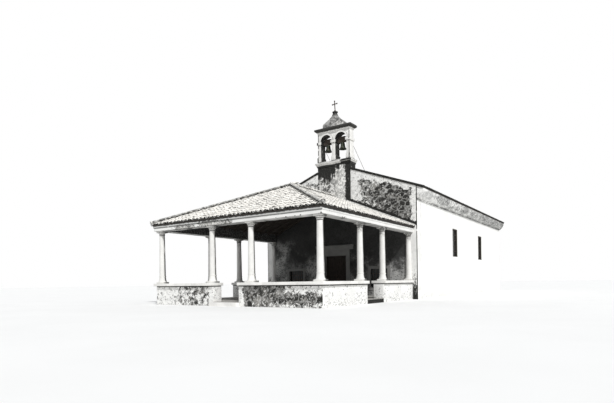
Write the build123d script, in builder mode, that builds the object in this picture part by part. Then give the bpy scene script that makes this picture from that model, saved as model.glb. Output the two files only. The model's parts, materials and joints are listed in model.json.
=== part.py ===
from build123d import *
import os
from math import atan2, cos, degrees, pi, radians, sin, sqrt, tan

os.makedirs("parts", exist_ok=True)

# Rural chapel: a nave with a low gable roof, a bell cote with two bells on its front gable,
# and a deep porch on columns under a hipped roof. Millimetres. X runs along the front,
# Y into the building and Z up from the ground. The origin is under the middle of the plan.

# Nave
nave_half_width = 4090
nave_length = 16000
wall_thickness = 550
floor_level = 150
ridge_level = 6470
nave_pitch = 20.2
nave_roof_thickness = 110
eaves_reach = 350
verge_reach = 40
cornice_height = 578
cornice_projection = 300
cornice_band = 90
cove_bulge = (0.42, 0.25)

# Door and windows
door_width = 1200
door_head = 2030
jamb_width = 200
jamb_depth = 220
surround_projection = 20
lintel_height = 280
hood_height = 240
hood_profile = ((0.15, 0), (1, 0.55), (1, 0.85), (0, 1))
hood_projection = 130
hood_overhang = 200
leaf_thickness = 45
leaf_gap = 5
leaf_lap = 75
leaf_floor_gap = 8
leaf_head_lap = 40
leaf_stile = 95
leaf_recess = 12
hinge_levels = (450, 1700)
hinge_setback = 15
pin_radius = 8
pin_clearance = 0.3
pin_height = 60
knuckle_radius = 16
knuckle_height = 50
strap_length = 430
strap_thickness = 8
bracket_width = 20
bracket_height = 24
low_window_offset = 2270
low_window_size = 850
low_window_head = 1360
low_frame_width = 120
low_frame_depth = 200
side_window_width = 860
side_window_sill = 2020
side_window_height = 1440
side_window_inset = 5455
glass_thickness = 12
glass_depth = 110

# Porch
column_line = 3690
inner_column_line = 920
porch_depth = 7100
near_bay = 2650
far_bay = 4490
parapet_outer = 165
parapet_inner = 255
parapet_top = 720
coping_thickness = 100
coping_overhang = 85
front_gap_left_margin = 170
front_gap_right_margin = 465
side_gap_near_margin = 290
side_gap_far_margin = 210
step_depth = 150
step_drop = 15
step_left_run = 100
step_right_run = 45
beam_height = 210
fascia_height = 90
beam_half_width = 215
fascia_projection = 25
porch_eaves_rise = 100
porch_eaves_reach = 330
porch_pitch = 22.9
porch_roof_thickness = 110
rafter_width = 80
rafter_depth = 100
rafter_spacing = 620
ridge_beam_width = 100
ridge_beam_depth = 160
hip_rafter_width = 100
hip_rafter_depth = 140
rafter_seat_gap = 0.3
ridge_cap_half = 120
ridge_cap_rise = 60
ridge_cap_sink = 60

# Columns
column_height = 2050
base_height = 290
plinth_size = 340
plinth_height = 60
base_set_in = 6
base_flare = ((0, 1), (0.12, 0.84), (0.45, 0.4), (0.84, 0.12), (0.88, 0.3), (1, 0.3))
shaft_low_radius = 120
shaft_top_radius = 100
shaft_swell = 0.35
shaft_sides = 24
astragal_drop = 280
astragal_height = 30
astragal_projection = 14
capital_height = 120
abacus_size = 310
abacus_height = 60
capital_flare = ((0, 0), (0.35, 0.22), (0.7, 0.55), (1, 1))

# Bell cote
cote_depth = 400
pier_depth = 500
pier_half_width = 900
pier_drop = 140
lower_cornice_height = 200
lower_cornice_projection = 100
lower_cornice_profile = ((0.25, 0), (0.25, 0.2), (0.65, 0.45), (0.65, 0.62), (1, 0.7), (1, 1))
cote_set_in = 30
sill_height = 60
side_post_width = 170
centre_post_width = 200
post_height = 840
impost_height = 120
impost_projection = 40
post_base_height = 220
post_base_projection = 25
archivolt_width = 75
archivolt_projection = 30
arch_crown_height = 100
upper_cornice_projection = 130
upper_cornice_height = 220
upper_cornice_profile = ((0.15, 0), (0.15, 0.15), (0.3, 0.32), (0.75, 0.5), (0.75, 0.58), (1, 0.62), (1, 1))
cap_half_width = 560
cap_half_depth = 240
cap_plinth_height = 150
cap_height = 540
cap_profile = ((0, 1), (0.1, 0.94), (0.3, 0.66), (0.52, 0.36), (0.76, 0.12), (1, 0))
cap_neck_half_width = 80
knob_height = 110
knob_neck_radius = 70
knob_radius = 135
knob_band = (0.4, 0.75)
knob_sides = 16
cross_height = 520
cross_span = 300
cross_arm_drop = 170
cross_bar = 38
cross_end = 30
cross_thickness = 24
cross_foot_radius = 45
stay_radius = 8
stay_rise = 780
stay_foot_distance = 1800
stay_plate = 90
stay_plate_thickness = 20

# Bells
bell_radius = 180
bell_height = 330
bell_wall = 16
bell_profile = ((0, 1), (0.06, 0.93), (0.18, 0.77), (0.4, 0.66), (0.7, 0.58), (0.9, 0.5), (1, 0.36))
bell_sides = 24
clapper_sides = 12
headstock_gap = 20
headstock_depth = 110
headstock_height = 270
headstock_top_width = 300
gudgeon_radius = 12
gudgeon_clearance = 0.3
gudgeon_engagement = 40
gudgeon_end_gap = 12
gudgeon_seat_rise = 70
gudgeon_rise = 90
staple_radius = 6
staple_drop = 34
staple_half_span = 36
lug_thickness = 10
clapper_eye_radius = 14
clapper_eye_width = 40
clapper_rod_radius = 8
clapper_ball_radius = 32
clapper_ball_band = 0.4
clapper_ball_rise = 18
clapper_tail_reach = 42
clapper_tail_radius = 13

# Derived places
porch_reach = porch_depth + porch_eaves_reach
nave_reach = nave_length + verge_reach
front = (porch_reach - nave_reach) / 2
back = front + nave_length
nave_slope = tan(radians(nave_pitch))
nave_roof_drop = nave_roof_thickness / cos(radians(nave_pitch))
eaves_half = nave_half_width + eaves_reach
porch_slope = tan(radians(porch_pitch))
porch_roof_drop = porch_roof_thickness / cos(radians(porch_pitch))
coping_top = parapet_top + coping_thickness
beam_bottom = coping_top + column_height
porch_eaves_level = beam_bottom + beam_height + porch_eaves_rise
porch_half = column_line + porch_eaves_reach
porch_front = front - porch_reach
porch_apex = porch_front + porch_half
porch_ridge_level = porch_eaves_level + porch_slope * porch_half
column_row = front - porch_depth
inner_half_width = nave_half_width - wall_thickness
parapet_out = column_line + parapet_outer
parapet_in = column_line - parapet_inner
front_gap_left = front_gap_left_margin - inner_column_line
front_gap_right = inner_column_line - front_gap_right_margin
side_gap_near = near_bay + side_gap_near_margin
side_gap_far = far_bay - side_gap_far_margin
door_half = door_width / 2
door_opening = door_half + jamb_width
lintel_top = door_head + lintel_height
low_hole = low_window_size / 2 + low_frame_width
low_hole_bottom = low_window_head - low_window_size - low_frame_width
low_hole_top = low_window_head + low_frame_width
side_window_head = side_window_sill + side_window_height
cote_half_width = pier_half_width - cote_set_in
cote_middle = front + cote_depth / 2
pier_top = ridge_level - pier_drop
lower_cornice_top = pier_top + lower_cornice_height
sill_level = lower_cornice_top + sill_height
impost_level = sill_level + post_height
arch_level = impost_level + impost_height
arch_radius = (cote_half_width - side_post_width - centre_post_width / 2) / 2
arches_top = arch_level + arch_radius + arch_crown_height
upper_slab_top = arches_top + upper_cornice_height
cap_bottom = upper_slab_top + cap_plinth_height
cap_top = cap_bottom + cap_height
bell_offset = (cote_half_width - side_post_width + centre_post_width / 2) / 2
gudgeon_level = impost_level + gudgeon_seat_rise
crown_level = gudgeon_level - gudgeon_rise
bell_mouth_level = crown_level - bell_height
staple_level = crown_level - bell_wall - staple_drop
clapper_ball_drop = staple_level - bell_mouth_level - clapper_ball_rise
clapper_tail_drop = staple_level - bell_mouth_level + clapper_tail_reach
headstock_width = 2 * (arch_radius - impost_projection - headstock_gap)
hinge_x = door_half + leaf_lap + hinge_setback
leaf_front = front + jamb_depth + leaf_gap
leaf_back = leaf_front + leaf_thickness
hinge_y = leaf_back + hinge_setback


def nave_roof_level(x):
    """Height of the nave roof's upper face at a distance from the ridge."""
    return ridge_level - nave_slope * abs(x)


def nave_soffit(x):
    """Height of the nave roof's lower face at a distance from the ridge."""
    return nave_roof_level(x) - nave_roof_drop


def porch_soffit(reach):
    """Height of the porch roof's lower face at a distance in from its eaves."""
    return porch_eaves_level + porch_slope * reach - porch_roof_drop


def turned(profile, sides, place=(0, 0), mode=Mode.ADD):
    """A many-sided turned form about an upright axis, through (radius, level) pairs."""
    for (low_radius, low_level), (high_radius, high_level) in zip(profile, profile[1:]):
        with BuildSketch(Plane.XY.offset(low_level)) as section:
            with Locations(place):
                RegularPolygon(low_radius, sides)
        draw_in = (low_radius - high_radius) * cos(pi / sides)
        height = high_level - low_level
        extrude(section.sketch, amount=height, taper=degrees(atan2(draw_in, height)), mode=mode)


def stepped(steps, near, far, behind=1):
    """Outline of courses that stand out from two edges, the far edge by a share of each step."""
    near_side = [(near - reach, level) for reach, level in steps]
    far_side = [(far + behind * reach, level) for reach, level in steps]
    return near_side + far_side[::-1]


def crossed(front_outline, side_outline):
    """A body with one outline seen from the front and another from the side."""
    with BuildPart() as body:
        with BuildSketch(Plane.XZ):
            with BuildLine():
                Polyline(*front_outline, close=True)
            make_face()
        extrude(amount=nave_length, both=True)
        with BuildSketch(Plane.YZ):
            with BuildLine():
                Polyline(*side_outline, close=True)
            make_face()
        extrude(amount=nave_length, both=True, mode=Mode.INTERSECT)
    return body.part


def block(low, high, mode=Mode.ADD):
    """A rectangular block between two opposite corners."""
    with Locations(tuple((low[i] + high[i]) / 2 for i in range(3))):
        Box(*[high[i] - low[i] for i in range(3)], mode=mode)


cornice_bottom = nave_soffit(nave_half_width) - cornice_height

# Nave floor, with a tongue through the doorway
with BuildPart() as nave_floor:
    block((-inner_half_width, front + wall_thickness, 0), (inner_half_width, back - wall_thickness, floor_level))
    block((-door_opening, front, 0), (door_opening, front + wall_thickness, floor_level))
nave_floor.part.label = "nave_floor"
export_step(nave_floor.part, "parts/nave_floor.step")

# Front wall on each side of the door, with the hole for a low window
with BuildPart() as front_wall_right:
    block((door_opening, front, 0), (nave_half_width, front + wall_thickness, cornice_bottom))
    block(
        (low_window_offset - low_hole, front, low_hole_bottom),
        (low_window_offset + low_hole, front + wall_thickness, low_hole_top),
        Mode.SUBTRACT,
    )
front_wall_right.part.label = "front_wall_right"
export_step(front_wall_right.part, "parts/front_wall_right.step")

with BuildPart() as front_wall_left:
    mirror(front_wall_right.part, about=Plane.YZ)
front_wall_left.part.label = "front_wall_left"
export_step(front_wall_left.part, "parts/front_wall_left.step")

with BuildPart() as front_wall_over_door:
    block((-door_opening, front, lintel_top), (door_opening, front + wall_thickness, cornice_bottom))
    block((-door_opening, front, door_head), (door_opening, front + wall_thickness, lintel_top))
    block((-door_opening, front, door_head), (door_opening, front + jamb_depth, lintel_top), Mode.SUBTRACT)
    block(
        (-door_opening, front + jamb_depth, door_head),
        (door_opening, front + wall_thickness, door_head + leaf_head_lap * 2),
        Mode.SUBTRACT,
    )
front_wall_over_door.part.label = "front_wall_over_door"
export_step(front_wall_over_door.part, "parts/front_wall_over_door.step")

# Gable over the front wall, notched where the bell cote's pier stands in it
gable_outline = [
    (-nave_half_width, cornice_bottom),
    (nave_half_width, cornice_bottom),
    (nave_half_width, nave_soffit(nave_half_width)),
    (0, nave_soffit(0)),
    (-nave_half_width, nave_soffit(nave_half_width)),
]
with BuildPart() as front_gable:
    with BuildSketch(Plane.XZ.offset(-front)):
        with BuildLine():
            Polyline(*gable_outline, close=True)
        make_face()
    extrude(amount=-wall_thickness)
    block(
        (-pier_half_width, front, cornice_bottom),
        (pier_half_width, front + pier_depth, ridge_level),
        Mode.SUBTRACT,
    )
front_gable.part.label = "front_gable"
export_step(front_gable.part, "parts/front_gable.step")

# Rear wall with its gable
with BuildPart() as rear_wall:
    with BuildSketch(Plane.XZ.offset(-back)):
        with BuildLine():
            Polyline(
                (-nave_half_width, 0),
                (nave_half_width, 0),
                (nave_half_width, nave_soffit(nave_half_width)),
                (0, nave_soffit(0)),
                (-nave_half_width, nave_soffit(nave_half_width)),
                close=True,
            )
        make_face()
    extrude(amount=wall_thickness)
rear_wall.part.label = "rear_wall"
export_step(rear_wall.part, "parts/rear_wall.step")

# Side walls, each with two tall windows
window_rows = (front + side_window_inset, back - side_window_inset)
with BuildPart() as right_wall:
    with BuildSketch(Plane.XZ.offset(-(front + wall_thickness))):
        with BuildLine():
            Polyline(
                (inner_half_width, 0),
                (nave_half_width, 0),
                (nave_half_width, nave_soffit(nave_half_width)),
                (inner_half_width, nave_soffit(inner_half_width)),
                close=True,
            )
        make_face()
    extrude(amount=-(nave_length - 2 * wall_thickness))
    for row in window_rows:
        block(
            (inner_half_width, row - side_window_width / 2, side_window_sill),
            (nave_half_width, row + side_window_width / 2, side_window_head),
            Mode.SUBTRACT,
        )
right_wall.part.label = "right_wall"
export_step(right_wall.part, "parts/right_wall.step")

with BuildPart() as left_wall:
    mirror(right_wall.part, about=Plane.YZ)
left_wall.part.label = "left_wall"
export_step(left_wall.part, "parts/left_wall.step")

# Cove cornice under the eaves of each side wall
cove_top = nave_soffit(nave_half_width + cornice_projection) - cornice_band
with BuildPart() as eaves_cornices:
    with BuildSketch(Plane.XZ.offset(-front)):
        with BuildLine():
            ThreePointArc(
                (nave_half_width, cornice_bottom),
                (
                    nave_half_width + cove_bulge[0] * cornice_projection,
                    cornice_bottom + cove_bulge[1] * (cove_top - cornice_bottom),
                ),
                (nave_half_width + cornice_projection, cove_top),
            )
            Polyline(
                (nave_half_width + cornice_projection, cove_top),
                (nave_half_width + cornice_projection, cove_top + cornice_band),
                (nave_half_width, nave_soffit(nave_half_width)),
                (nave_half_width, cornice_bottom),
            )
        make_face()
    extrude(amount=-nave_length)
    mirror(about=Plane.YZ)
eaves_cornices.part.label = "eaves_cornices"
export_step(eaves_cornices.part, "parts/eaves_cornices.step")

# Nave roof, one slab a side, notched round the bell cote
with BuildPart() as nave_roof_right:
    with BuildSketch(Plane.XZ.offset(-(front - verge_reach))):
        with BuildLine():
            Polyline(
                (0, nave_soffit(0)),
                (eaves_half, nave_soffit(eaves_half)),
                (eaves_half, nave_roof_level(eaves_half)),
                (0, ridge_level),
                close=True,
            )
        make_face()
    extrude(amount=-(nave_length + 2 * verge_reach))
    block(
        (-pier_half_width, front - verge_reach, cornice_bottom),
        (pier_half_width, front + pier_depth, pier_top + ridge_level),
        Mode.SUBTRACT,
    )
nave_roof_right.part.label = "nave_roof_right"
export_step(nave_roof_right.part, "parts/nave_roof_right.step")

with BuildPart() as nave_roof_left:
    mirror(nave_roof_right.part, about=Plane.YZ)
nave_roof_left.part.label = "nave_roof_left"
export_step(nave_roof_left.part, "parts/nave_roof_left.step")

# Stone surround of the door: two jambs, and a lintel under a hood
with BuildPart() as door_jambs:
    block((door_half, front - surround_projection, floor_level), (door_opening, front + jamb_depth, door_head))
    mirror(about=Plane.YZ)
door_jambs.part.label = "door_jambs"
export_step(door_jambs.part, "parts/door_jambs.step")

with BuildPart() as door_lintel:
    block((-door_opening, front - surround_projection, door_head), (door_opening, front + jamb_depth, lintel_top))
    with BuildSketch(Plane.YZ.offset(-door_opening - hood_overhang)):
        with BuildLine():
            Polyline(
                (front, lintel_top),
                *[(front - hood_projection * out, lintel_top + hood_height * up) for out, up in hood_profile],
                close=True,
            )
        make_face()
    extrude(amount=2 * (door_opening + hood_overhang))
door_lintel.part.label = "door_lintel"
export_step(door_lintel.part, "parts/door_lintel.step")

# Door leaves, hung on the back of the jambs and opening inwards
leaf_edge = door_half + leaf_lap
leaf_bottom = floor_level + leaf_floor_gap
leaf_top = door_head + leaf_head_lap
panel_width = leaf_edge - leaf_gap / 2 - 2 * leaf_stile
panel_middle = (leaf_edge + leaf_gap / 2) / 2
panel_height = (leaf_top - leaf_bottom - 3 * leaf_stile) / 2
with BuildPart() as door_leaf_right:
    block((leaf_gap / 2, leaf_front, leaf_bottom), (leaf_edge, leaf_back, leaf_top))
    for row in range(2):
        panel_bottom = leaf_bottom + leaf_stile + row * (panel_height + leaf_stile)
        for face_y in (leaf_front, leaf_back):
            block(
                (panel_middle - panel_width / 2, face_y - leaf_recess, panel_bottom),
                (panel_middle + panel_width / 2, face_y + leaf_recess, panel_bottom + panel_height),
                Mode.SUBTRACT,
            )
    for level in hinge_levels:
        knuckle_bottom = level + bracket_height + pin_clearance
        block(
            (hinge_x - strap_length, leaf_back, knuckle_bottom),
            (hinge_x, leaf_back + strap_thickness, knuckle_bottom + knuckle_height),
        )
        with BuildSketch(Plane.XY.offset(knuckle_bottom)):
            with Locations((hinge_x, hinge_y)):
                Circle(knuckle_radius)
        extrude(amount=knuckle_height)
        with BuildSketch(Plane.XY.offset(knuckle_bottom)):
            with Locations((hinge_x, hinge_y)):
                Circle(pin_radius + pin_clearance)
        extrude(amount=knuckle_height, mode=Mode.SUBTRACT)
door_leaf_right.part.label = "door_leaf_right"
export_step(door_leaf_right.part, "parts/door_leaf_right.step")

with BuildPart() as door_leaf_left:
    mirror(door_leaf_right.part, about=Plane.YZ)
door_leaf_left.part.label = "door_leaf_left"
export_step(door_leaf_left.part, "parts/door_leaf_left.step")

# Iron pintles in the back of the jambs that carry the leaves
with BuildPart() as door_pintles:
    for level in hinge_levels:
        block(
            (hinge_x - bracket_width / 2, front + jamb_depth, level),
            (hinge_x + bracket_width / 2, hinge_y + bracket_width / 2, level + bracket_height),
        )
        with BuildSketch(Plane.XY.offset(level)):
            with Locations((hinge_x, hinge_y)):
                Circle(pin_radius)
        extrude(amount=bracket_height + pin_height)
    mirror(about=Plane.YZ)
door_pintles.part.label = "door_pintles"
export_step(door_pintles.part, "parts/door_pintles.step")

# Stone frames of the two low windows beside the door
with BuildPart() as low_window_frames:
    with BuildSketch(Plane.XZ.offset(-(front - surround_projection))):
        with Locations((low_window_offset, low_window_head - low_window_size / 2)):
            Rectangle(2 * low_hole, low_hole_top - low_hole_bottom)
            Rectangle(low_window_size, low_window_size, mode=Mode.SUBTRACT)
    extrude(amount=-(low_frame_depth + surround_projection))
    mirror(about=Plane.YZ)
low_window_frames.part.label = "low_window_frames"
export_step(low_window_frames.part, "parts/low_window_frames.step")

# One pane in each of the six windows
with BuildPart() as window_glass:
    block(
        (low_window_offset - low_window_size / 2, front + glass_depth, low_window_head - low_window_size),
        (low_window_offset + low_window_size / 2, front + glass_depth + glass_thickness, low_window_head),
    )
    for row in window_rows:
        block(
            (nave_half_width - glass_depth - glass_thickness, row - side_window_width / 2, side_window_sill),
            (nave_half_width - glass_depth, row + side_window_width / 2, side_window_head),
        )
    mirror(about=Plane.YZ)
window_glass.part.label = "window_glass"
export_step(window_glass.part, "parts/window_glass.step")

# Porch floor, with tongues through the three gaps in the parapet
with BuildPart() as porch_floor:
    block((-parapet_in, column_row + parapet_inner, 0), (parapet_in, front, floor_level))
    block(
        (front_gap_left, column_row - parapet_outer, 0),
        (front_gap_right, column_row + parapet_inner, floor_level),
    )
    block((-parapet_out, front - side_gap_far, 0), (parapet_out, front - side_gap_near, floor_level))
porch_floor.part.label = "porch_floor"
export_step(porch_floor.part, "parts/porch_floor.step")

with BuildPart() as front_step:
    block(
        (front_gap_left - step_left_run, column_row - parapet_outer - step_depth, 0),
        (front_gap_right + step_right_run, column_row - parapet_outer, floor_level - step_drop),
    )
front_step.part.label = "front_step"
export_step(front_step.part, "parts/front_step.step")

# Parapet walls under the columns
with BuildPart() as front_parapet:
    block((-parapet_out, column_row - parapet_outer, 0), (front_gap_left, column_row + parapet_inner, parapet_top))
    block((front_gap_right, column_row - parapet_outer, 0), (parapet_out, column_row + parapet_inner, parapet_top))
front_parapet.part.label = "front_parapet"
export_step(front_parapet.part, "parts/front_parapet.step")

with BuildPart() as side_parapets:
    block((parapet_in, column_row + parapet_inner, 0), (parapet_out, front - side_gap_far, parapet_top))
    block((parapet_in, front - side_gap_near, 0), (parapet_out, front, parapet_top))
    mirror(about=Plane.YZ)
side_parapets.part.label = "side_parapets"
export_step(side_parapets.part, "parts/side_parapets.step")

# Stone coping over the parapet walls
coping_out = parapet_out + coping_overhang
coping_in = parapet_in - coping_overhang
coping_row_out = column_row - parapet_outer - coping_overhang
coping_row_in = column_row + parapet_inner + coping_overhang
with BuildPart() as parapet_coping:
    with BuildSketch(Plane.XY.offset(parapet_top)):
        with BuildLine():
            Polyline(
                (front_gap_right, coping_row_out),
                (coping_out, coping_row_out),
                (coping_out, front - side_gap_far),
                (coping_in, front - side_gap_far),
                (coping_in, coping_row_in),
                (front_gap_right, coping_row_in),
                close=True,
            )
        make_face()
        with BuildLine():
            Polyline(
                (front_gap_left, coping_row_out),
                (-coping_out, coping_row_out),
                (-coping_out, front - side_gap_far),
                (-coping_in, front - side_gap_far),
                (-coping_in, coping_row_in),
                (front_gap_left, coping_row_in),
                close=True,
            )
        make_face()
    extrude(amount=coping_thickness)
    block((coping_in, front - side_gap_near, parapet_top), (coping_out, front, coping_top))
    block((-coping_out, front - side_gap_near, parapet_top), (-coping_in, front, coping_top))
parapet_coping.part.label = "parapet_coping"
export_step(parapet_coping.part, "parts/parapet_coping.step")

# Columns: four along the front, two more down each side and a half column at the wall
column_places = [(side * x, column_row) for side in (-1, 1) for x in (inner_column_line, column_line)]
column_places += [(side * column_line, front - bay) for side in (-1, 1) for bay in (near_bay, far_bay, 0)]
base_top = coping_top + base_height
capital_bottom = beam_bottom - capital_height
abacus_bottom = beam_bottom - abacus_height


def keep_before_wall():
    """Cut away what would stand inside the front wall."""
    block(
        (-nave_half_width, front, coping_top),
        (nave_half_width, front + plinth_size, beam_bottom),
        Mode.SUBTRACT,
    )


base_spread = plinth_size / 2 - base_set_in - shaft_low_radius
base_rise = base_height - plinth_height
base_profile = [
    (shaft_low_radius + base_spread * spread, coping_top + plinth_height + base_rise * rise)
    for rise, spread in base_flare
]
with BuildPart() as one_base:
    with BuildSketch(Plane.XY.offset(coping_top)):
        Rectangle(plinth_size, plinth_size)
    extrude(amount=plinth_height)
    turned(base_profile, shaft_sides)
with BuildPart() as column_bases:
    with Locations(*column_places):
        add(one_base.part)
    keep_before_wall()
column_bases.part.label = "column_bases"
export_step(column_bases.part, "parts/column_bases.step")

astragal_level = beam_bottom - astragal_drop
swell_level = base_top + (capital_bottom - base_top) * shaft_swell
swell_radius = shaft_low_radius - (shaft_low_radius - shaft_top_radius) * shaft_swell / 2
astragal_radius = shaft_top_radius + astragal_projection
with BuildPart() as one_shaft:
    turned(
        [(shaft_low_radius, base_top), (swell_radius, swell_level), (shaft_top_radius, capital_bottom)],
        shaft_sides,
    )
    turned([(astragal_radius, astragal_level), (astragal_radius, astragal_level + astragal_height)], shaft_sides)
with BuildPart() as column_shafts:
    with Locations(*column_places):
        add(one_shaft.part)
    keep_before_wall()
column_shafts.part.label = "column_shafts"
export_step(column_shafts.part, "parts/column_shafts.step")

capital_spread = abacus_size / 2 - base_set_in - shaft_top_radius
capital_profile = [
    (
        shaft_top_radius + capital_spread * spread,
        capital_bottom + (abacus_bottom - capital_bottom) * rise,
    )
    for rise, spread in capital_flare
]
with BuildPart() as one_capital:
    with BuildSketch(Plane.XY.offset(abacus_bottom)):
        Rectangle(abacus_size, abacus_size)
    extrude(amount=abacus_height)
    turned(capital_profile, shaft_sides)
with BuildPart() as column_capitals:
    with Locations(*column_places):
        add(one_capital.part)
    keep_before_wall()
column_capitals.part.label = "column_capitals"
export_step(column_capitals.part, "parts/column_capitals.step")

# Plastered beams over the columns, a band under a slightly wider fascia
fascia_bottom = beam_bottom + beam_height - fascia_height
beam_reach = porch_eaves_reach - beam_half_width
fascia_reach = beam_reach - fascia_projection
inner_reach = porch_eaves_reach + beam_half_width
beam_profile = [
    (beam_reach, beam_bottom),
    (beam_reach, fascia_bottom),
    (fascia_reach, fascia_bottom),
    (fascia_reach, porch_soffit(fascia_reach)),
    (inner_reach, porch_soffit(inner_reach)),
    (inner_reach, beam_bottom),
]
beam_inner_half = porch_half - inner_reach
with BuildPart() as side_beams:
    with BuildSketch(Plane.XZ.offset(-front)):
        with BuildLine():
            Polyline(*[(porch_half - reach, level) for reach, level in beam_profile], close=True)
        make_face()
    extrude(amount=porch_reach - inner_reach)
    mirror(about=Plane.YZ)
side_beams.part.label = "side_beams"
export_step(side_beams.part, "parts/side_beams.step")

with BuildPart() as front_beam:
    with BuildSketch(Plane.YZ.offset(-porch_half)):
        with BuildLine():
            Polyline(*[(porch_front + reach, level) for reach, level in beam_profile], close=True)
        make_face()
    extrude(amount=2 * porch_half)
    for side in (-1, 1):
        with BuildSketch(Plane.XZ.offset(-porch_front)):
            with BuildLine():
                Polyline(
                    (side * porch_half, 0),
                    (side * (porch_half - beam_reach), 0),
                    (side * (porch_half - beam_reach), fascia_bottom),
                    (side * (porch_half - fascia_reach), fascia_bottom),
                    (side * (porch_half - fascia_reach), porch_soffit(fascia_reach)),
                    (side * (porch_half - inner_reach), porch_soffit(inner_reach)),
                    (side * (porch_half - inner_reach), porch_ridge_level),
                    (side * porch_half, porch_ridge_level),
                    close=True,
                )
            make_face()
        extrude(amount=-2 * inner_reach, mode=Mode.SUBTRACT)
front_beam.part.label = "front_beam"
export_step(front_beam.part, "parts/front_beam.step")

# Hipped porch roof: a slope on each side and one over the front
hip_right = Plane(origin=(0, porch_apex, 0), x_dir=(1, -1, 0), z_dir=(1, 1, 0))
hip_left = Plane(origin=(0, porch_apex, 0), x_dir=(-1, -1, 0), z_dir=(-1, 1, 0))
slope_profile = [
    (0, porch_eaves_level - porch_roof_drop),
    (porch_half, porch_ridge_level - porch_roof_drop),
    (porch_half, porch_ridge_level),
    (0, porch_eaves_level),
]
with BuildPart() as porch_roof_right:
    with BuildSketch(Plane.XZ.offset(-front)):
        with BuildLine():
            Polyline(*[(porch_half - reach, level) for reach, level in slope_profile], close=True)
        make_face()
    extrude(amount=porch_reach)
    split(bisect_by=hip_right, keep=Keep.TOP)
porch_roof_right.part.label = "porch_roof_right"
export_step(porch_roof_right.part, "parts/porch_roof_right.step")

with BuildPart() as porch_roof_left:
    mirror(porch_roof_right.part, about=Plane.YZ)
porch_roof_left.part.label = "porch_roof_left"
export_step(porch_roof_left.part, "parts/porch_roof_left.step")

with BuildPart() as porch_roof_front:
    with BuildSketch(Plane.YZ.offset(-porch_half)):
        with BuildLine():
            Polyline(*[(porch_front + reach, level) for reach, level in slope_profile], close=True)
        make_face()
    extrude(amount=2 * porch_half)
    split(bisect_by=hip_right, keep=Keep.BOTTOM)
    split(bisect_by=hip_left, keep=Keep.BOTTOM)
porch_roof_front.part.label = "porch_roof_front"
export_step(porch_roof_front.part, "parts/porch_roof_front.step")

# Mortared caps over the ridges and hips
ridge_cap_outline = [
    (-ridge_cap_half, -ridge_cap_sink),
    (ridge_cap_half, -ridge_cap_sink),
    (ridge_cap_half, 0),
    (ridge_cap_half / 2, ridge_cap_rise),
    (-ridge_cap_half / 2, ridge_cap_rise),
    (-ridge_cap_half, 0),
]
with BuildPart() as level_caps:
    for start, end, level in (
        (front + pier_depth, back + verge_reach, ridge_level),
        (porch_apex + rafter_seat_gap, front, porch_ridge_level),
    ):
        with BuildSketch(Plane.XZ.offset(-start)):
            with BuildLine():
                Polyline(*[(across, level + up) for across, up in ridge_cap_outline], close=True)
            make_face()
        extrude(amount=start - end)
with BuildPart() as hip_cap:
    with BuildSketch(Plane(origin=(0, porch_apex, porch_ridge_level), x_dir=(-1, -1, 0), z_dir=(1, -1, 0))):
        with BuildLine():
            Polyline(*ridge_cap_outline, close=True)
        make_face()
    extrude(amount=2 * porch_half, dir=(1, -1, -porch_slope))
    block(
        (rafter_seat_gap, porch_front, 0),
        (porch_half, porch_apex, porch_ridge_level + ridge_cap_rise),
        Mode.INTERSECT,
    )
with BuildPart() as roof_ridges:
    add(hip_cap.part)
    mirror(about=Plane.YZ)
    add(level_caps.part)
    for slope in (nave_roof_right, nave_roof_left, porch_roof_right, porch_roof_left, porch_roof_front):
        add(slope.part, mode=Mode.SUBTRACT)
roof_ridges.part.label = "roof_ridges"
export_step(roof_ridges.part, "parts/roof_ridges.step")

# Ridge beam and rafters under the porch roof
ridge_half = ridge_beam_width / 2
ridge_soffit = porch_soffit(porch_half - ridge_half)
with BuildPart() as porch_ridge_beam:
    block(
        (-ridge_half, porch_apex, ridge_soffit - ridge_beam_depth),
        (ridge_half, front, ridge_soffit),
    )
porch_ridge_beam.part.label = "porch_ridge_beam"
export_step(porch_ridge_beam.part, "parts/porch_ridge_beam.step")

rafter_drop = rafter_depth / cos(radians(porch_pitch))
hip_drop = hip_rafter_depth / cos(radians(porch_pitch))
hip_lead = hip_rafter_width / 2 / sqrt(2)
jack_lead = hip_lead + rafter_seat_gap / sqrt(2)
row_count = int(porch_depth // rafter_spacing)
all_rows = [front - rafter_width - number * rafter_spacing for number in range(row_count)]
rafter_rows = [row for row in all_rows if row > column_row + beam_half_width + rafter_width]
column_count = int(beam_inner_half // rafter_spacing)
rafter_columns = [number * rafter_spacing for number in range(-column_count, column_count + 1)]
hip_side = Plane(origin=(jack_lead, porch_apex + jack_lead, 0), x_dir=(1, -1, 0), z_dir=(1, 1, 0))
hip_front_right = Plane(origin=(-jack_lead, porch_apex - jack_lead, 0), x_dir=(1, -1, 0), z_dir=(1, 1, 0))
hip_front_left = Plane(origin=(jack_lead, porch_apex - jack_lead, 0), x_dir=(-1, -1, 0), z_dir=(-1, 1, 0))
with BuildPart() as side_rafters:
    for row in rafter_rows:
        with BuildSketch(Plane.XZ.offset(-row)):
            with BuildLine():
                Polyline(
                    (beam_inner_half, porch_soffit(inner_reach)),
                    (ridge_half, ridge_soffit),
                    (ridge_half, ridge_soffit - rafter_drop),
                    (beam_inner_half, porch_soffit(inner_reach) - rafter_drop),
                    close=True,
                )
            make_face()
        extrude(amount=rafter_width / 2, both=True)
    split(bisect_by=hip_side, keep=Keep.TOP)
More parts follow.
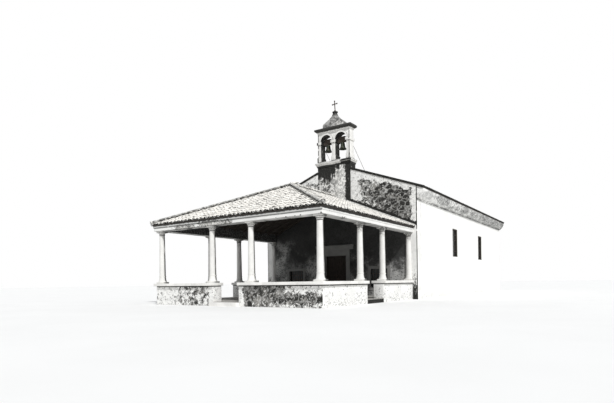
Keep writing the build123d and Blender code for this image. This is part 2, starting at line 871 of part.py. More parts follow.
with BuildPart() as front_rafters:
    for column in rafter_columns:
        with BuildSketch(Plane.YZ.offset(column)):
            with BuildLine():
                Polyline(
                    (porch_front + inner_reach, porch_soffit(inner_reach)),
                    (porch_apex, porch_soffit(porch_half)),
                    (porch_apex, porch_soffit(porch_half) - rafter_drop),
                    (porch_front + inner_reach, porch_soffit(inner_reach) - rafter_drop),
                    close=True,
                )
            make_face()
        extrude(amount=rafter_width / 2, both=True)
    split(bisect_by=hip_front_right, keep=Keep.BOTTOM)
    split(bisect_by=hip_front_left, keep=Keep.BOTTOM)
with BuildPart() as hip_rafter:
    with BuildSketch(Plane(origin=(0, porch_apex, 0), x_dir=(1, -1, 0), z_dir=(-1, -1, 0))):
        with BuildLine():
            Polyline(
                (0, porch_soffit(porch_half - hip_lead)),
                (sqrt(2) * porch_half, porch_soffit(-hip_lead)),
                (sqrt(2) * porch_half, porch_soffit(-hip_lead) - hip_drop),
                (0, porch_soffit(porch_half - hip_lead) - hip_drop),
                close=True,
            )
        make_face()
    extrude(amount=hip_rafter_width / 2, both=True)
    block(
        (rafter_seat_gap, porch_front + inner_reach, 0),
        (beam_inner_half, porch_apex, ridge_level),
        Mode.INTERSECT,
    )
with BuildPart() as porch_rafters:
    add(side_rafters.part)
    add(hip_rafter.part)
    mirror(about=Plane.YZ)
    add(front_rafters.part)
porch_rafters.part.label = "porch_rafters"
export_step(porch_rafters.part, "parts/porch_rafters.step")

# Bell cote: the pier that rises out of the gable
with BuildPart() as belfry_pier:
    block((-pier_half_width, front, cornice_bottom), (pier_half_width, front + pier_depth, pier_top))
belfry_pier.part.label = "belfry_pier"
export_step(belfry_pier.part, "parts/belfry_pier.step")

lower_steps = [
    (lower_cornice_projection * out, pier_top + lower_cornice_height * up) for out, up in lower_cornice_profile
]
with BuildPart() as belfry_lower_cornice:
    add(
        crossed(
            stepped(lower_steps, -pier_half_width, pier_half_width),
            stepped(lower_steps, front, front + pier_depth, behind=0),
        )
    )
    block((-cote_half_width, front, lower_cornice_top), (cote_half_width, front + cote_depth, sill_level))
belfry_lower_cornice.part.label = "belfry_lower_cornice"
export_step(belfry_lower_cornice.part, "parts/belfry_lower_cornice.step")

# Three posts with impost mouldings, bored for the bells' gudgeons
post_edges = [
    (-cote_half_width, -cote_half_width + side_post_width),
    (-centre_post_width / 2, centre_post_width / 2),
    (cote_half_width - side_post_width, cote_half_width),
]
post_back = front + cote_depth
with BuildPart() as belfry_posts:
    for left_edge, right_edge in post_edges:
        block((left_edge, front, sill_level), (right_edge, post_back, impost_level))
        block(
            (left_edge - post_base_projection, front - post_base_projection, sill_level),
            (right_edge + post_base_projection, post_back + post_base_projection, sill_level + post_base_height),
        )
        block(
            (left_edge - impost_projection, front - impost_projection, impost_level),
            (right_edge + impost_projection, post_back + impost_projection, arch_level),
        )
    for middle in (-bell_offset, bell_offset):
        for side in (-1, 1):
            mouth = middle + side * (arch_radius - impost_projection)
            with BuildSketch(Plane.YZ.offset(mouth)):
                with Locations((cote_middle, gudgeon_level)):
                    Circle(gudgeon_radius + gudgeon_clearance)
            extrude(amount=side * (gudgeon_engagement + gudgeon_end_gap), mode=Mode.SUBTRACT)
belfry_posts.part.label = "belfry_posts"
export_step(belfry_posts.part, "parts/belfry_posts.step")

with BuildPart() as belfry_arches:
    block((-cote_half_width, front, arch_level), (cote_half_width, front + cote_depth, arches_top))
    with BuildSketch(Plane.XZ.offset(archivolt_projection - front)):
        with Locations((-bell_offset, arch_level), (bell_offset, arch_level)):
            Circle(arch_radius + archivolt_width)
        with Locations((0, arch_level - arch_radius)):
            Rectangle(2 * cote_half_width, 2 * arch_radius, mode=Mode.SUBTRACT)
        with Locations(
            (-cote_half_width - arch_radius, arch_level + arch_radius),
            (cote_half_width + arch_radius, arch_level + arch_radius),
        ):
            Rectangle(2 * arch_radius, 3 * arch_radius, mode=Mode.SUBTRACT)
    extrude(amount=-(cote_depth + 2 * archivolt_projection))
    with BuildSketch(Plane.XZ.offset(archivolt_projection - front)):
        with Locations((-bell_offset, arch_level), (bell_offset, arch_level)):
            Circle(arch_radius)
    extrude(amount=-(cote_depth + 2 * archivolt_projection), mode=Mode.SUBTRACT)
belfry_arches.part.label = "belfry_arches"
export_step(belfry_arches.part, "parts/belfry_arches.step")

upper_steps = [
    (upper_cornice_projection * out, arches_top + upper_cornice_height * up) for out, up in upper_cornice_profile
]
with BuildPart() as belfry_upper_cornice:
    add(
        crossed(
            stepped(upper_steps, -cote_half_width, cote_half_width),
            stepped(upper_steps, front, post_back),
        )
    )
belfry_upper_cornice.part.label = "belfry_upper_cornice"
export_step(belfry_upper_cornice.part, "parts/belfry_upper_cornice.step")

# Stone cap with hollow sides, carrying a knob
knob_profile = [
    (knob_neck_radius, cap_top),
    *[(knob_radius, cap_top + knob_height * share) for share in knob_band],
    (knob_neck_radius, cap_top + knob_height),
]
cap_steps = []
for half_size in (cap_half_width, cap_half_depth):
    spread = half_size - cap_neck_half_width
    slopes = [(cap_neck_half_width + spread * share, cap_bottom + cap_height * rise) for rise, share in cap_profile]
    cap_steps.append([(half_size, upper_slab_top), *slopes])
with BuildPart() as belfry_cap:
    add(crossed(stepped(cap_steps[0], 0, 0), stepped(cap_steps[1], cote_middle, cote_middle)))
    turned(knob_profile, knob_sides, (0, cote_middle))
belfry_cap.part.label = "belfry_cap"
export_step(belfry_cap.part, "parts/belfry_cap.step")

# Iron cross on the knob
cross_bottom = cap_top + knob_height
cross_arms = cross_bottom + cross_height - cross_arm_drop
with BuildPart() as belfry_cross:
    with BuildSketch(Plane(origin=(0, cote_middle, 0), x_dir=(1, 0, 0), z_dir=(0, -1, 0))):
        with Locations((0, cross_bottom + cross_height / 2)):
            Rectangle(cross_bar, cross_height)
        with Locations((0, cross_arms)):
            Rectangle(cross_span, cross_bar)
        with Locations(
            (0, cross_bottom + cross_height - cross_end),
            (-cross_span / 2 + cross_end, cross_arms),
            (cross_span / 2 - cross_end, cross_arms),
        ):
            Circle(cross_end)
    extrude(amount=cross_thickness / 2, both=True)
    with BuildSketch(Plane.XY.offset(cross_bottom)):
        with Locations((0, cote_middle)):
            Circle(cross_foot_radius)
    extrude(amount=cross_bar)
belfry_cross.part.label = "belfry_cross"
export_step(belfry_cross.part, "parts/belfry_cross.step")

# Iron stays from the back of the bell cote down to the nave roof
stay_x = cote_half_width - side_post_width / 2
stay_top_level = sill_level + stay_rise
stay_top = (stay_x, front + cote_depth + stay_plate_thickness / 2, stay_top_level)
stay_lift = stay_plate_thickness / 2 / cos(radians(nave_pitch))
stay_foot = (stay_x, front + stay_foot_distance, nave_roof_level(stay_x) + stay_lift)
roof_normal = (sin(radians(nave_pitch)), 0, cos(radians(nave_pitch)))
with BuildPart() as belfry_stays:
    block(
        (stay_x - stay_plate / 2, front + cote_depth, stay_top_level - stay_plate / 2),
        (stay_x + stay_plate / 2, front + cote_depth + stay_plate_thickness, stay_top_level + stay_plate / 2),
    )
    with BuildSketch(Plane(origin=stay_foot, x_dir=(0, 1, 0), z_dir=roof_normal)):
        Rectangle(stay_plate, stay_plate)
    extrude(amount=stay_plate_thickness / 2, both=True)
    with BuildLine():
        rod = Line(stay_top, stay_foot)
    with BuildSketch(Plane(origin=rod @ 0, z_dir=rod % 0)):
        Circle(stay_radius)
    extrude(amount=rod.length)
    mirror(about=Plane.YZ)
belfry_stays.part.label = "belfry_stays"
export_step(belfry_stays.part, "parts/belfry_stays.step")

# Bells hung from wooden headstocks, each with a clapper on a staple inside
bell_outside = [(bell_radius * share, bell_mouth_level + bell_height * rise) for rise, share in bell_profile]
bell_inside = [(radius - bell_wall, min(level, crown_level - bell_wall)) for radius, level in bell_outside]
with BuildPart() as bell_right:
    turned(bell_outside, bell_sides, (bell_offset, cote_middle))
    turned(bell_inside, bell_sides, (bell_offset, cote_middle), Mode.SUBTRACT)
    for side in (-1, 1):
        lug_x = bell_offset + side * (staple_half_span - lug_thickness / 2)
        block(
            (lug_x - lug_thickness / 2, cote_middle - lug_thickness, staple_level - lug_thickness),
            (lug_x + lug_thickness / 2, cote_middle + lug_thickness, crown_level - bell_wall / 2),
        )
    with BuildSketch(Plane.YZ.offset(bell_offset)):
        with Locations((cote_middle, staple_level)):
            Circle(staple_radius)
    extrude(amount=staple_half_span - lug_thickness / 2, both=True)
bell_right.part.label = "bell_right"
export_step(bell_right.part, "parts/bell_right.step")

with BuildPart() as bell_left:
    mirror(bell_right.part, about=Plane.YZ)
bell_left.part.label = "bell_left"
export_step(bell_left.part, "parts/bell_left.step")

with BuildPart() as headstock_right:
    with BuildSketch(Plane.XZ.offset(-cote_middle)):
        with BuildLine():
            Polyline(
                (bell_offset - headstock_width / 2, crown_level),
                (bell_offset + headstock_width / 2, crown_level),
                (bell_offset + headstock_width / 2, gudgeon_level + headstock_depth / 2),
                (bell_offset + headstock_top_width / 2, crown_level + headstock_height),
                (bell_offset - headstock_top_width / 2, crown_level + headstock_height),
                (bell_offset - headstock_width / 2, gudgeon_level + headstock_depth / 2),
                close=True,
            )
        make_face()
    extrude(amount=headstock_depth / 2, both=True)
    with BuildSketch(Plane.YZ.offset(bell_offset)):
        with Locations((cote_middle, gudgeon_level)):
            Circle(gudgeon_radius)
    extrude(amount=arch_radius - impost_projection + gudgeon_engagement, both=True)
headstock_right.part.label = "headstock_right"
export_step(headstock_right.part, "parts/headstock_right.step")

with BuildPart() as headstock_left:
    mirror(headstock_right.part, about=Plane.YZ)
headstock_left.part.label = "headstock_left"
export_step(headstock_left.part, "parts/headstock_left.step")

clapper_ball_level = staple_level - clapper_ball_drop
clapper_ball_half = clapper_ball_radius * clapper_ball_band
clapper_profile = [
    (clapper_tail_radius, staple_level - clapper_tail_drop),
    (clapper_rod_radius, clapper_ball_level - clapper_ball_radius),
    (clapper_ball_radius, clapper_ball_level - clapper_ball_half),
    (clapper_ball_radius, clapper_ball_level + clapper_ball_half),
    (clapper_rod_radius, clapper_ball_level + clapper_ball_radius),
    (clapper_rod_radius, staple_level),
]
with BuildPart() as clapper_right:
    with BuildSketch(Plane.YZ.offset(bell_offset)):
        with Locations((cote_middle, staple_level)):
            Circle(clapper_eye_radius)
    extrude(amount=clapper_eye_width / 2, both=True)
    turned(clapper_profile, clapper_sides, (bell_offset, cote_middle))
    with BuildSketch(Plane.YZ.offset(bell_offset)):
        with Locations((cote_middle, staple_level)):
            Circle(staple_radius + gudgeon_clearance)
    extrude(amount=clapper_eye_width, both=True, mode=Mode.SUBTRACT)
clapper_right.part.label = "clapper_right"
export_step(clapper_right.part, "parts/clapper_right.step")

with BuildPart() as clapper_left:
    mirror(clapper_right.part, about=Plane.YZ)
clapper_left.part.label = "clapper_left"
export_step(clapper_left.part, "parts/clapper_left.step")
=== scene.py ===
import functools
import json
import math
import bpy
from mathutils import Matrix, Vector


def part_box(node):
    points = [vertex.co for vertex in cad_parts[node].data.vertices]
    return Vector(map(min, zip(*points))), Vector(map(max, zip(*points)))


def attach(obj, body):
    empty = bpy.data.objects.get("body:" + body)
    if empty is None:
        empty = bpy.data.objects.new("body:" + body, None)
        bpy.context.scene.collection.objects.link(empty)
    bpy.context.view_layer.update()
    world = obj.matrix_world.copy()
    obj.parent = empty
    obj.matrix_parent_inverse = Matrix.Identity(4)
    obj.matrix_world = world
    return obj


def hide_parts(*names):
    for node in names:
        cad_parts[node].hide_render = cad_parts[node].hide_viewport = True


bl_info = {
    "name": "Small Chapel",
    "version": (1, 0, 0),
    "blender": (4, 5, 0),
    "location": "3D View > Sidebar > Chapel",
    "description": "Finishes a rural chapel: rubble, limewash, barrel tiles, bells and timber",
    "category": "Object",
}

import bpy
import numpy as np
from mathutils import Matrix, Vector, noise

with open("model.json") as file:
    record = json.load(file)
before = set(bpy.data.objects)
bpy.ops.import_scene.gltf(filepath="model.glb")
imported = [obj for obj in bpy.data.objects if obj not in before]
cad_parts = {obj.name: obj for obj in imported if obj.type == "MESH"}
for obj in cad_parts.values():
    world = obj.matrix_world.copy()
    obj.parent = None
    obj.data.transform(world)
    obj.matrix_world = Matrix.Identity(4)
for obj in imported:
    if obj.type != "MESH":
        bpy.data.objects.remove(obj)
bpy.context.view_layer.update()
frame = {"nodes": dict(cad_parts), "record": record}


class Pitch:
    """How a roof rises from its eaves to its ridge, read from the slab of its right slope."""

    def __init__(self, node):
        low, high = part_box(node)
        upper = [face for face in frame["nodes"][node].data.polygons if face.normal.z > 0.5]
        normal = max(upper, key=lambda face: face.area).normal
        level_share = math.cos(math.atan(normal.x / normal.z))
        self.slope = normal.x / normal.z
        self.half, self.ridge, self.soffit = high.x, high.z, low.z
        self.eaves = self.ridge - self.slope * self.half
        self.run = self.half / level_share
        self.slab = (self.eaves - self.soffit) * level_share


# Places taken from the construction model
NAVE, PORCH = Pitch("nave_roof_right"), Pitch("porch_roof_right")
FRONT, GABLE_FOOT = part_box("front_gable")[0].yz
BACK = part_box("rear_wall")[1].y
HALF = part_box("right_wall")[1].x
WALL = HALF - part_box("right_wall")[0].x
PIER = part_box("belfry_pier")[1]
COTE_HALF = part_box("belfry_arches")[1].x
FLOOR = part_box("porch_floor")[1].z
COPING_BOTTOM, COPING_TOP = (corner.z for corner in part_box("parapet_coping"))
PARAPET_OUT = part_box("side_parapets")[1].x
ROW = (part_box("parapet_coping")[0].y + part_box("side_beams")[0].y) / 2
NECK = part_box("column_capitals")[0].z
BEAM_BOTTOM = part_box("front_beam")[0].z
BEAM_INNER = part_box("porch_rafters")[1].x
FASCIA_BOTTOM = BEAM_BOTTOM + 0.12
PORCH_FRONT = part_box("porch_roof_front")[0].y
PORCH_APEX = PORCH_FRONT + PORCH.half

# The way in through the front parapet, from left to right
GAP_LEFT, GAP_RIGHT = -0.75, 0.455

# Ridge tiles: widths at both ends and rise, fall of their flanks, how far they stand proud, and their mortar
RIDGE_TILE, RIDGE_FALL = (0.21, 0.175, 0.09), 0.13
RIDGE_PROUD, RIDGE_MORTAR = 0.085, -0.022

# How far the nave's tiles stop short of its roof's ends, and how thick the verges there are
VERGE_GAP, VERGE = 0.004, 0.03

# Columns: half widths of plinth and abacus, heights of plinth, neck ring and echinus, and shaft radii
PLINTH, ABACUS = 0.17, 0.155
PLINTH_RISE, RING_RISE, ECHINUS_RISE = 0.06, 0.03, 0.06
SHAFT_FOOT, SHAFT_NECK = 0.12, 0.1
# Their mouldings: radii at shares of the height
FLARE = ((0.164, 0.0), (0.164, 0.02), (0.158, 0.05), (0.144, 0.2), (0.134, 0.45), (0.126, 0.7), (0.122, 0.84))
FLARE += ((0.13, 0.87), (0.134, 0.92), (0.133, 0.97), (0.128, 1.0))
NECK_RING = ((0.11, 0.0), (0.115, 0.3), (0.115, 0.7), (0.108, 1.0))
ECHINUS = ((0.102, 0.0), (0.106, 0.25), (0.118, 0.5), (0.138, 0.8), (0.148, 1.0))

# Bell bands: level as a share of the bell's height, and radius as a share of its mouth
BELL_BANDS = ((0.08, 0.93), (0.22, 0.75), (0.74, 0.575), (0.8, 0.55))

# Patches without coat on the front beam: middle, half width, level and half height
BARE_PATCHES = ((-2.18, 0.52, 2.9, 0.09), (-0.64, 0.68, 2.92, 0.12))

# A leaf's middle rail, and its nails on the stile and the rails: distances from its meeting edge and its foot
MIDDLE_RAIL = 0.956
DOOR_NAILS = [(0.05, rise) for rise in (0.048, 0.3, 0.55, 1.2, 1.45, 1.7, 1.842)]
DOOR_NAILS += [(along, rise) for rise in (0.048, MIDDLE_RAIL, 1.842) for along in (0.2, 0.35, 0.5)]
NAIL = ((0.011, 0.0), (0.011, 0.002), (0.008, 0.006), (0.004, 0.008), (1e-6, 0.009))
ROSETTE = ((0.042, 0.0), (0.042, 0.003), (0.03, 0.008), (0.014, 0.014), (0.012, 0.02))
KEYHOLE = ((0.012, 0.0), (0.012, 0.003), (0.008, 0.006), (0.005, 0.006))

# Ring pull and lock plate: distances from the meeting edge, and levels under the middle rail
RING_ALONG = 0.07
PLATE_NEAR, PLATE_FAR, PLATE_FOOT, PLATE_TOP, PLATE_THICK = 0.018, 0.084, 0.31, 0.17, 0.004

# The camera's place, turn and roll, its sensor in millimetres, and the photograph's width and focal length
STAND = Vector((11.347, FRONT - 19.169, 0.803))
HEADING, ROLL = 0.595, -0.0138
SENSOR, PHOTO_WIDTH, FOCAL_PIXELS, SHIFT = 36, 614, 467, 0.1312
SUN_FROM = Vector((0.60, -0.40, 0.70))

# Colours of grime and of painted shade, and of bare mortar
BLACK = (0.02, 0.02, 0.018)
GREY = (0.16, 0.155, 0.14)


# Sizes and colours that a user would change
def length(name, description, default):
    """A length that a user can change."""
    return bpy.props.FloatProperty(name=name, description=description, default=default, unit="LENGTH")


def hue(name, description, default):
    """A colour that a user can change."""
    return bpy.props.FloatVectorProperty(name=name, description=description, default=default, subtype="COLOR")


class ChapelRoof(bpy.types.PropertyGroup):
    """Sizes and colour of the barrel tiles and their boards"""

    pitch: length("Tile pitch", "Distance between two rows of cover tiles", 0.2)
    exposed: length("Exposed length", "Length of each tile that shows", 0.36)
    tile_length: length("Tile length", "Whole length of a tile", 0.44)
    tile_width: length("Tile width", "Width of a tile at its lower end", 0.155)
    tile_rise: length("Tile rise", "Height of a tile's arch", 0.068)
    tile_wall: length("Tile thickness", "Thickness of the clay", 0.014)
    board: length("Board width", "Width of a deck board", 0.17)
    clay: hue("Clay", "Colour of the weathered tiles", (0.66, 0.64, 0.60))


class ChapelMasonry(bpy.types.PropertyGroup):
    """Sizes and colours of the stones and their lime"""

    grain: length("Grid", "Distance between points on a rubble face", 0.032)
    stone: length("Stone length", "Usual length of a rubble stone", 0.3)
    relief: length("Relief", "How far the stones stand out of their joints", 0.022)
    flag_length: length("Slab length", "Length of a paving slab with its joint", 0.7)
    flag_width: length("Slab width", "Width of a row of paving slabs", 0.5)
    lime: hue("Limewash", "Colour of the limewashed walls", (0.86, 0.855, 0.83))
    rubble: hue("Rubble", "Colour of the lichened stones", (0.15, 0.145, 0.135))
    ashlar: hue("Ashlar", "Colour of the dressed limestone", (0.80, 0.79, 0.76))


class ChapelFittings(bpy.types.PropertyGroup):
    """Sizes of the ironwork"""

    bar: length("Bar", "Width of the iron window bars", 0.018)
    ring: length("Door ring", "Radius of the ring pull", 0.06)
    lean: bpy.props.FloatProperty(
        name="Cross lean",
        description="How far the iron cross leans over",
        default=math.radians(3.0),
        unit="ROTATION",
    )


# Modelling by hand, step by step
def only(piece):
    """Selects one piece and makes it the active one."""
    deselect()
    piece.select_set(True)
    bpy.context.view_layer.objects.active = piece


def deselect():
    """Leaves edit mode and clears the selection."""
    if bpy.context.object and bpy.context.object.mode != "OBJECT":
        leave()
    bpy.ops.object.select_all(action="DESELECT")


def leave():
    bpy.ops.object.mode_set(mode="OBJECT")


def settle(piece):
    """Puts the piece's place, turn and size into its mesh."""
    only(piece)
    bpy.ops.object.transform_apply(location=True, rotation=True, scale=True)
    return piece


def fresh(name):
    """Names the piece that an operator has just added."""
    piece = bpy.context.object
    piece.name = name
    piece.data.name = name
    return piece


def edit(piece, test=None, faces=False):
    """Enters edit mode with all selected, or only the points, or the faces, that pass a test."""
    points = test is not None and not faces
    only(piece)
    bpy.context.tool_settings.mesh_select_mode = (points, False, not points)
    bpy.ops.object.mode_set(mode="EDIT")
    bpy.ops.mesh.select_all(action="DESELECT" if test else "SELECT")
    if test:
        leave()
        for item in piece.data.polygons if faces else piece.data.vertices:
            item.select = test(item.center if faces else item.co)
        bpy.ops.object.mode_set(mode="EDIT")


def drop(piece, test):
    """Takes away the faces that pass a test."""
    edit(piece, test, faces=True)
    bpy.ops.mesh.delete(type="FACE")
    leave()


def modify(piece, kind, **settings):
    """Adds a modifier, sets it and applies it."""
    only(piece)
    modifier = piece.modifiers.new(kind.title(), kind)
    for key, value in settings.items():
        setattr(modifier, key, value)
    bpy.ops.object.modifier_apply(modifier=modifier.name)


def worn(piece, width):
    """Rounds the sharp edges of a piece."""
    modify(piece, "BEVEL", width=width, segments=2, limit_method="ANGLE", angle_limit=math.radians(30))
    return piece


def carve(piece, tool, operation="DIFFERENCE"):
    """Cuts one piece with another, which is used up."""
    modify(piece, "BOOLEAN", object=tool, operation=operation, solver="EXACT")
    bpy.data.objects.remove(tool)


def cut(piece, point, normal, away=False, fill=False):
    """Cuts the mesh along a plane, and can take away what lies on the normal's side."""
    edit(piece)
    bpy.ops.mesh.bisect(plane_co=point, plane_no=normal, clear_outer=away, use_fill=fill, threshold=1e-5)
    leave()


def cut_often(piece, axis, low, high, step):
    """Cuts the mesh into even strips along one axis."""
    normal = Vector([float(axis == index) for index in range(3)])
    count = max(int((high - low) / step), 1)
    edit(piece)
    for number in range(1, count):
        bpy.ops.mesh.select_all(action="SELECT")
        place = normal * (low + (high - low) * number / count)
        bpy.ops.mesh.bisect(plane_co=place, plane_no=normal, threshold=1e-5)
    leave()


def outward(piece):
    """Merges doubles and turns all faces outwards."""
    edit(piece)
    bpy.ops.mesh.remove_doubles(threshold=1e-5)
    bpy.ops.mesh.normals_make_consistent(inside=False)
    leave()
    return piece


def copy_of(piece, name, move=(0, 0, 0), scale=(1, 1, 1)):
    """A copy with its own mesh."""
    twin = bpy.data.objects.new(name, piece.data.copy())
    bpy.context.scene.collection.objects.link(twin)
    twin.location, twin.scale = move, scale
    return settle(twin)


def mirrored(piece):
    """The same piece on the left, reflected through the middle of the plan."""
    twin = copy_of(piece, piece.name.replace("right", "left"), scale=(-1, 1, 1))
    edit(twin)
    bpy.ops.mesh.normals_make_consistent(inside=False)
    leave()
    return twin


def joined(name, pieces):
    """Joins pieces into one."""
    deselect()
    for piece in pieces:
        piece.select_set(True)
    bpy.context.view_layer.objects.active = pieces[0]
    if len(pieces) > 1:
        bpy.ops.object.join()
    return fresh(name)


def block(name, low, high, bevel=0.0):
    """A squared block between two corners, with its edges rounded."""
    low, high = Vector(low), Vector(high)
    deselect()
    bpy.ops.mesh.primitive_cube_add(size=1, location=(low + high) / 2)
    piece = fresh(name)
    piece.scale = high - low
    settle(piece)
    if bevel:
        modify(piece, "BEVEL", width=bevel, segments=2, limit_method="NONE")
    return piece


def turned(name, profile, sides=32, centre=(0, 0), caps=True):
    """A round form through (radius, level) pairs: a circle, raised and widened step by step."""
    radius, level = profile[0]
    deselect()
    bpy.ops.mesh.primitive_circle_add(
        vertices=sides, radius=radius, location=(*centre, level), fill_type="NGON" if caps else "NOTHING"
    )
    piece = settle(fresh(name))
    bpy.context.tool_settings.mesh_select_mode = (False, True, False)
    bpy.ops.object.mode_set(mode="EDIT")
    bpy.ops.mesh.select_all(action="SELECT")
    for next_radius, next_level in profile[1:]:
        bpy.ops.mesh.extrude_region_move(
            MESH_OT_extrude_region={"use_dissolve_ortho_edges": False},
            TRANSFORM_OT_translate={"value": (0, 0, next_level - level)},
        )
        share = next_radius / radius
        bpy.ops.transform.resize(value=(share, share, 1), center_override=(*centre, next_level))
        radius, level = next_radius, next_level
    leave()
    return outward(piece)


def moulding(name, profile, foot, rise):
    """A round form whose profile gives radii at shares of its height."""
    return turned(name, [(radius, foot + share * rise) for radius, share in profile])


def wobble(place, scale):
    """Soft noise between 0 and 1 at a place."""
    return noise.noise(Vector(place) * scale) * 0.5 + 0.5


def ramp(value, low, high):
    """A smooth rise from 0 to 1 between two values."""
    share = min(max((value - low) / (high - low), 0.0), 1.0)
    return share * share * (3 - 2 * share)


def lump(piece, size, strength):
    """Makes a surface uneven, as hand work is."""
    clouds = bpy.data.textures.new(piece.name + "_lumps", "CLOUDS")
    clouds.noise_scale = size
    clouds.noise_depth = 3
    modify(piece, "DISPLACE", texture=clouds, texture_coords="LOCAL", strength=strength, mid_level=0.5)


def keep(piece, name, values):
    """Keeps a number for each point, as an attribute that materials read."""
    values = np.array(values, np.float32)
    piece.data.attributes.new(name, "FLOAT", "POINT").data.foreach_set("value", values)
    return values


def mark(piece, name, values):
    """Keeps a share for each point, held between 0 and 1."""
    return keep(piece, name, np.clip(values, 0, 1))


def press(piece, values, strength):
    """Pushes each point along its normal by its own share of a depth."""
    group = piece.vertex_groups.new(name="press")
    for index, value in enumerate(values):
        if value > 0:
            group.add([index], value, "REPLACE")
    modify(piece, "DISPLACE", strength=strength, mid_level=0.0, vertex_group="press")
    piece.vertex_groups.clear()


def stone_shape(place, size):
    """How far a point lies from the joints of random rubble, and a number for its stone."""
    scaled = Vector((place.x / size, place.y / size, place.z / (size * 0.62)))
    distances, centres = noise.voronoi(scaled)
    return ramp(distances[1] - distances[0], 0, 0.34), noise.cell(centres[0] * 7.3) * 0.5 + 0.5


def lay_stones(skin, plaster_left):
    """Keeps the stone, the tone and the plaster of each point. Hands back points, stones and plaster."""
    size = bpy.context.scene.chapel_masonry.stone
    places = [vertex.co.copy() for vertex in skin.data.vertices]
    stones, tones = zip(*(stone_shape(place, size) for place in places))
    plaster = mark(skin, "plaster", [plaster_left(place) for place in places])
    mark(skin, "tone", tones)
    return zip(places, mark(skin, "stone", stones).tolist(), plaster.tolist())


def node_copy(node, name, bevel=0.0, steps=()):
    """A merged copy of a construction piece, with worn edges and faces cut into strips along X, Y and Z."""
    piece = bpy.data.objects.new(name, frame["nodes"][node].data.copy())
    bpy.context.scene.collection.objects.link(piece)
    edit(piece)
    bpy.ops.mesh.remove_doubles(threshold=1e-4)
    bpy.ops.mesh.dissolve_limited(angle_limit=math.radians(2))
    bpy.ops.mesh.normals_make_consistent(inside=False)
    leave()
    if bevel:
        worn(piece, bevel)
    low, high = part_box(node)
    for axis, step in enumerate(steps):
        if step:
            cut_often(piece, axis, low[axis], high[axis], step)
    return piece


def row_of(piece, count, step):
    """Repeats a piece along a straight line."""
    settings = {"use_relative_offset": False, "use_constant_offset": True}
    modify(piece, "ARRAY", count=count, constant_offset_displace=step, **settings)
    return piece


def parts_of(node):
    """The corners of each separate solid of a construction piece."""
    only(node_copy(node, "part"))
    bpy.ops.mesh.separate(type="LOOSE")
    corners = []
    for piece in list(bpy.context.selected_objects):
        places = np.array([vertex.co for vertex in piece.data.vertices])
        corners.append((Vector(places.min(axis=0)), Vector(places.max(axis=0))))
        bpy.data.objects.remove(piece)
    return corners


def grounded(piece):
    """Lays the foot of a piece flat on the ground again."""
    edit(piece, lambda place: place.z < 0.03)
    bpy.ops.transform.resize(value=(1, 1, 0), center_override=(0, 0, 0))
    leave()
    return piece


def by_hand(piece, points, seed, turn, slide):
    """Turns and shifts every copy in a repeated piece a little, and gives each its own tone."""
    hand = np.random.default_rng(seed)
    places = np.zeros(len(piece.data.vertices) * 3, np.float32)
    piece.data.vertices.foreach_get("co", places)
    places = places.reshape(-1, points, 3)
    count = len(places)
    offset = places - places.mean(axis=1, keepdims=True)
    turns = hand.normal(0, turn, (count, 1))
    places[..., 0] += hand.normal(0, slide, (count, 1)) - turns * offset[..., 1]
    places[..., 1] += turns * offset[..., 0] + np.abs(hand.normal(0, slide * 2, (count, 1)))
    places[..., 2] -= np.abs(hand.normal(0, slide, (count, 1)))
    piece.data.vertices.foreach_set("co", places.ravel())
    piece.data.update()
    return np.repeat(hand.random(count).astype(np.float32), points)


def finish_piece(piece, slot, coats, *nodes, body="chapel", smooth=0):
    """Gives a finished piece its material and its body, and hides the construction nodes that it stands for."""
    if smooth:
        only(piece)
        bpy.ops.object.shade_smooth_by_angle(angle=math.radians(smooth))
    piece.data.materials.clear()
    piece.data.materials.append(finish(coats))
    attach(piece, body)
    if nodes:
        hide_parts(*nodes)


# Materials
class Value:
    """What a node works out at each point. Arithmetic with it adds nodes."""

    def __init__(self, nodes, socket):
        self.nodes, self.socket = nodes, socket

    def math(self, operation, other=0.0):
        return self.nodes.add("ShaderNodeMath", 0, self, other, operation=operation)

    def __add__(self, other):
        return self.math("ADD", other)

    def __sub__(self, other):
        return self.math("SUBTRACT", other)

    def __mul__(self, other):
        return self.math("MULTIPLY", other)

    def __or__(self, other):
        """The larger of two shares."""
        return self.math("MAXIMUM", other)

    def __abs__(self):
        return self.math("ABSOLUTE")

    def span(self, *limits):
        """Maps the first two limits to the last two, or to 0 and 1, and holds both ends."""
        return self.nodes.add("ShaderNodeMapRange", 0, self, *limits, interpolation_type="SMOOTHSTEP")

    def near(self, level, reach):
        """1 at a level, falling to 0 within a reach."""
        return abs(self - level).span(reach, reach * 0.4)


class Nodes:
    """A tree of shader nodes."""

    def __init__(self, tree):
        self.tree = tree

    def add(self, kind, output, *values, **settings):
        """Adds a node: values fill its inputs in order, and settings its inputs and properties by name."""
        node = self.tree.nodes.new(kind)
        for name, value in settings.items():
            if name[0].islower():
                setattr(node, name, value)
            else:
                self.join(value, node.inputs[name.replace("_", " ")])
        for value, socket in zip(values, node.inputs):
            self.join(value, socket)
        return Value(self, node.outputs[output])

    def join(self, value, socket):
        """Feeds a socket from another node, or sets it to a number or a colour."""
        if isinstance(value, Value):
            self.tree.links.new(value.socket, socket)
        else:
            socket.default_value = (*value, 1.0) if socket.type == "RGBA" else value


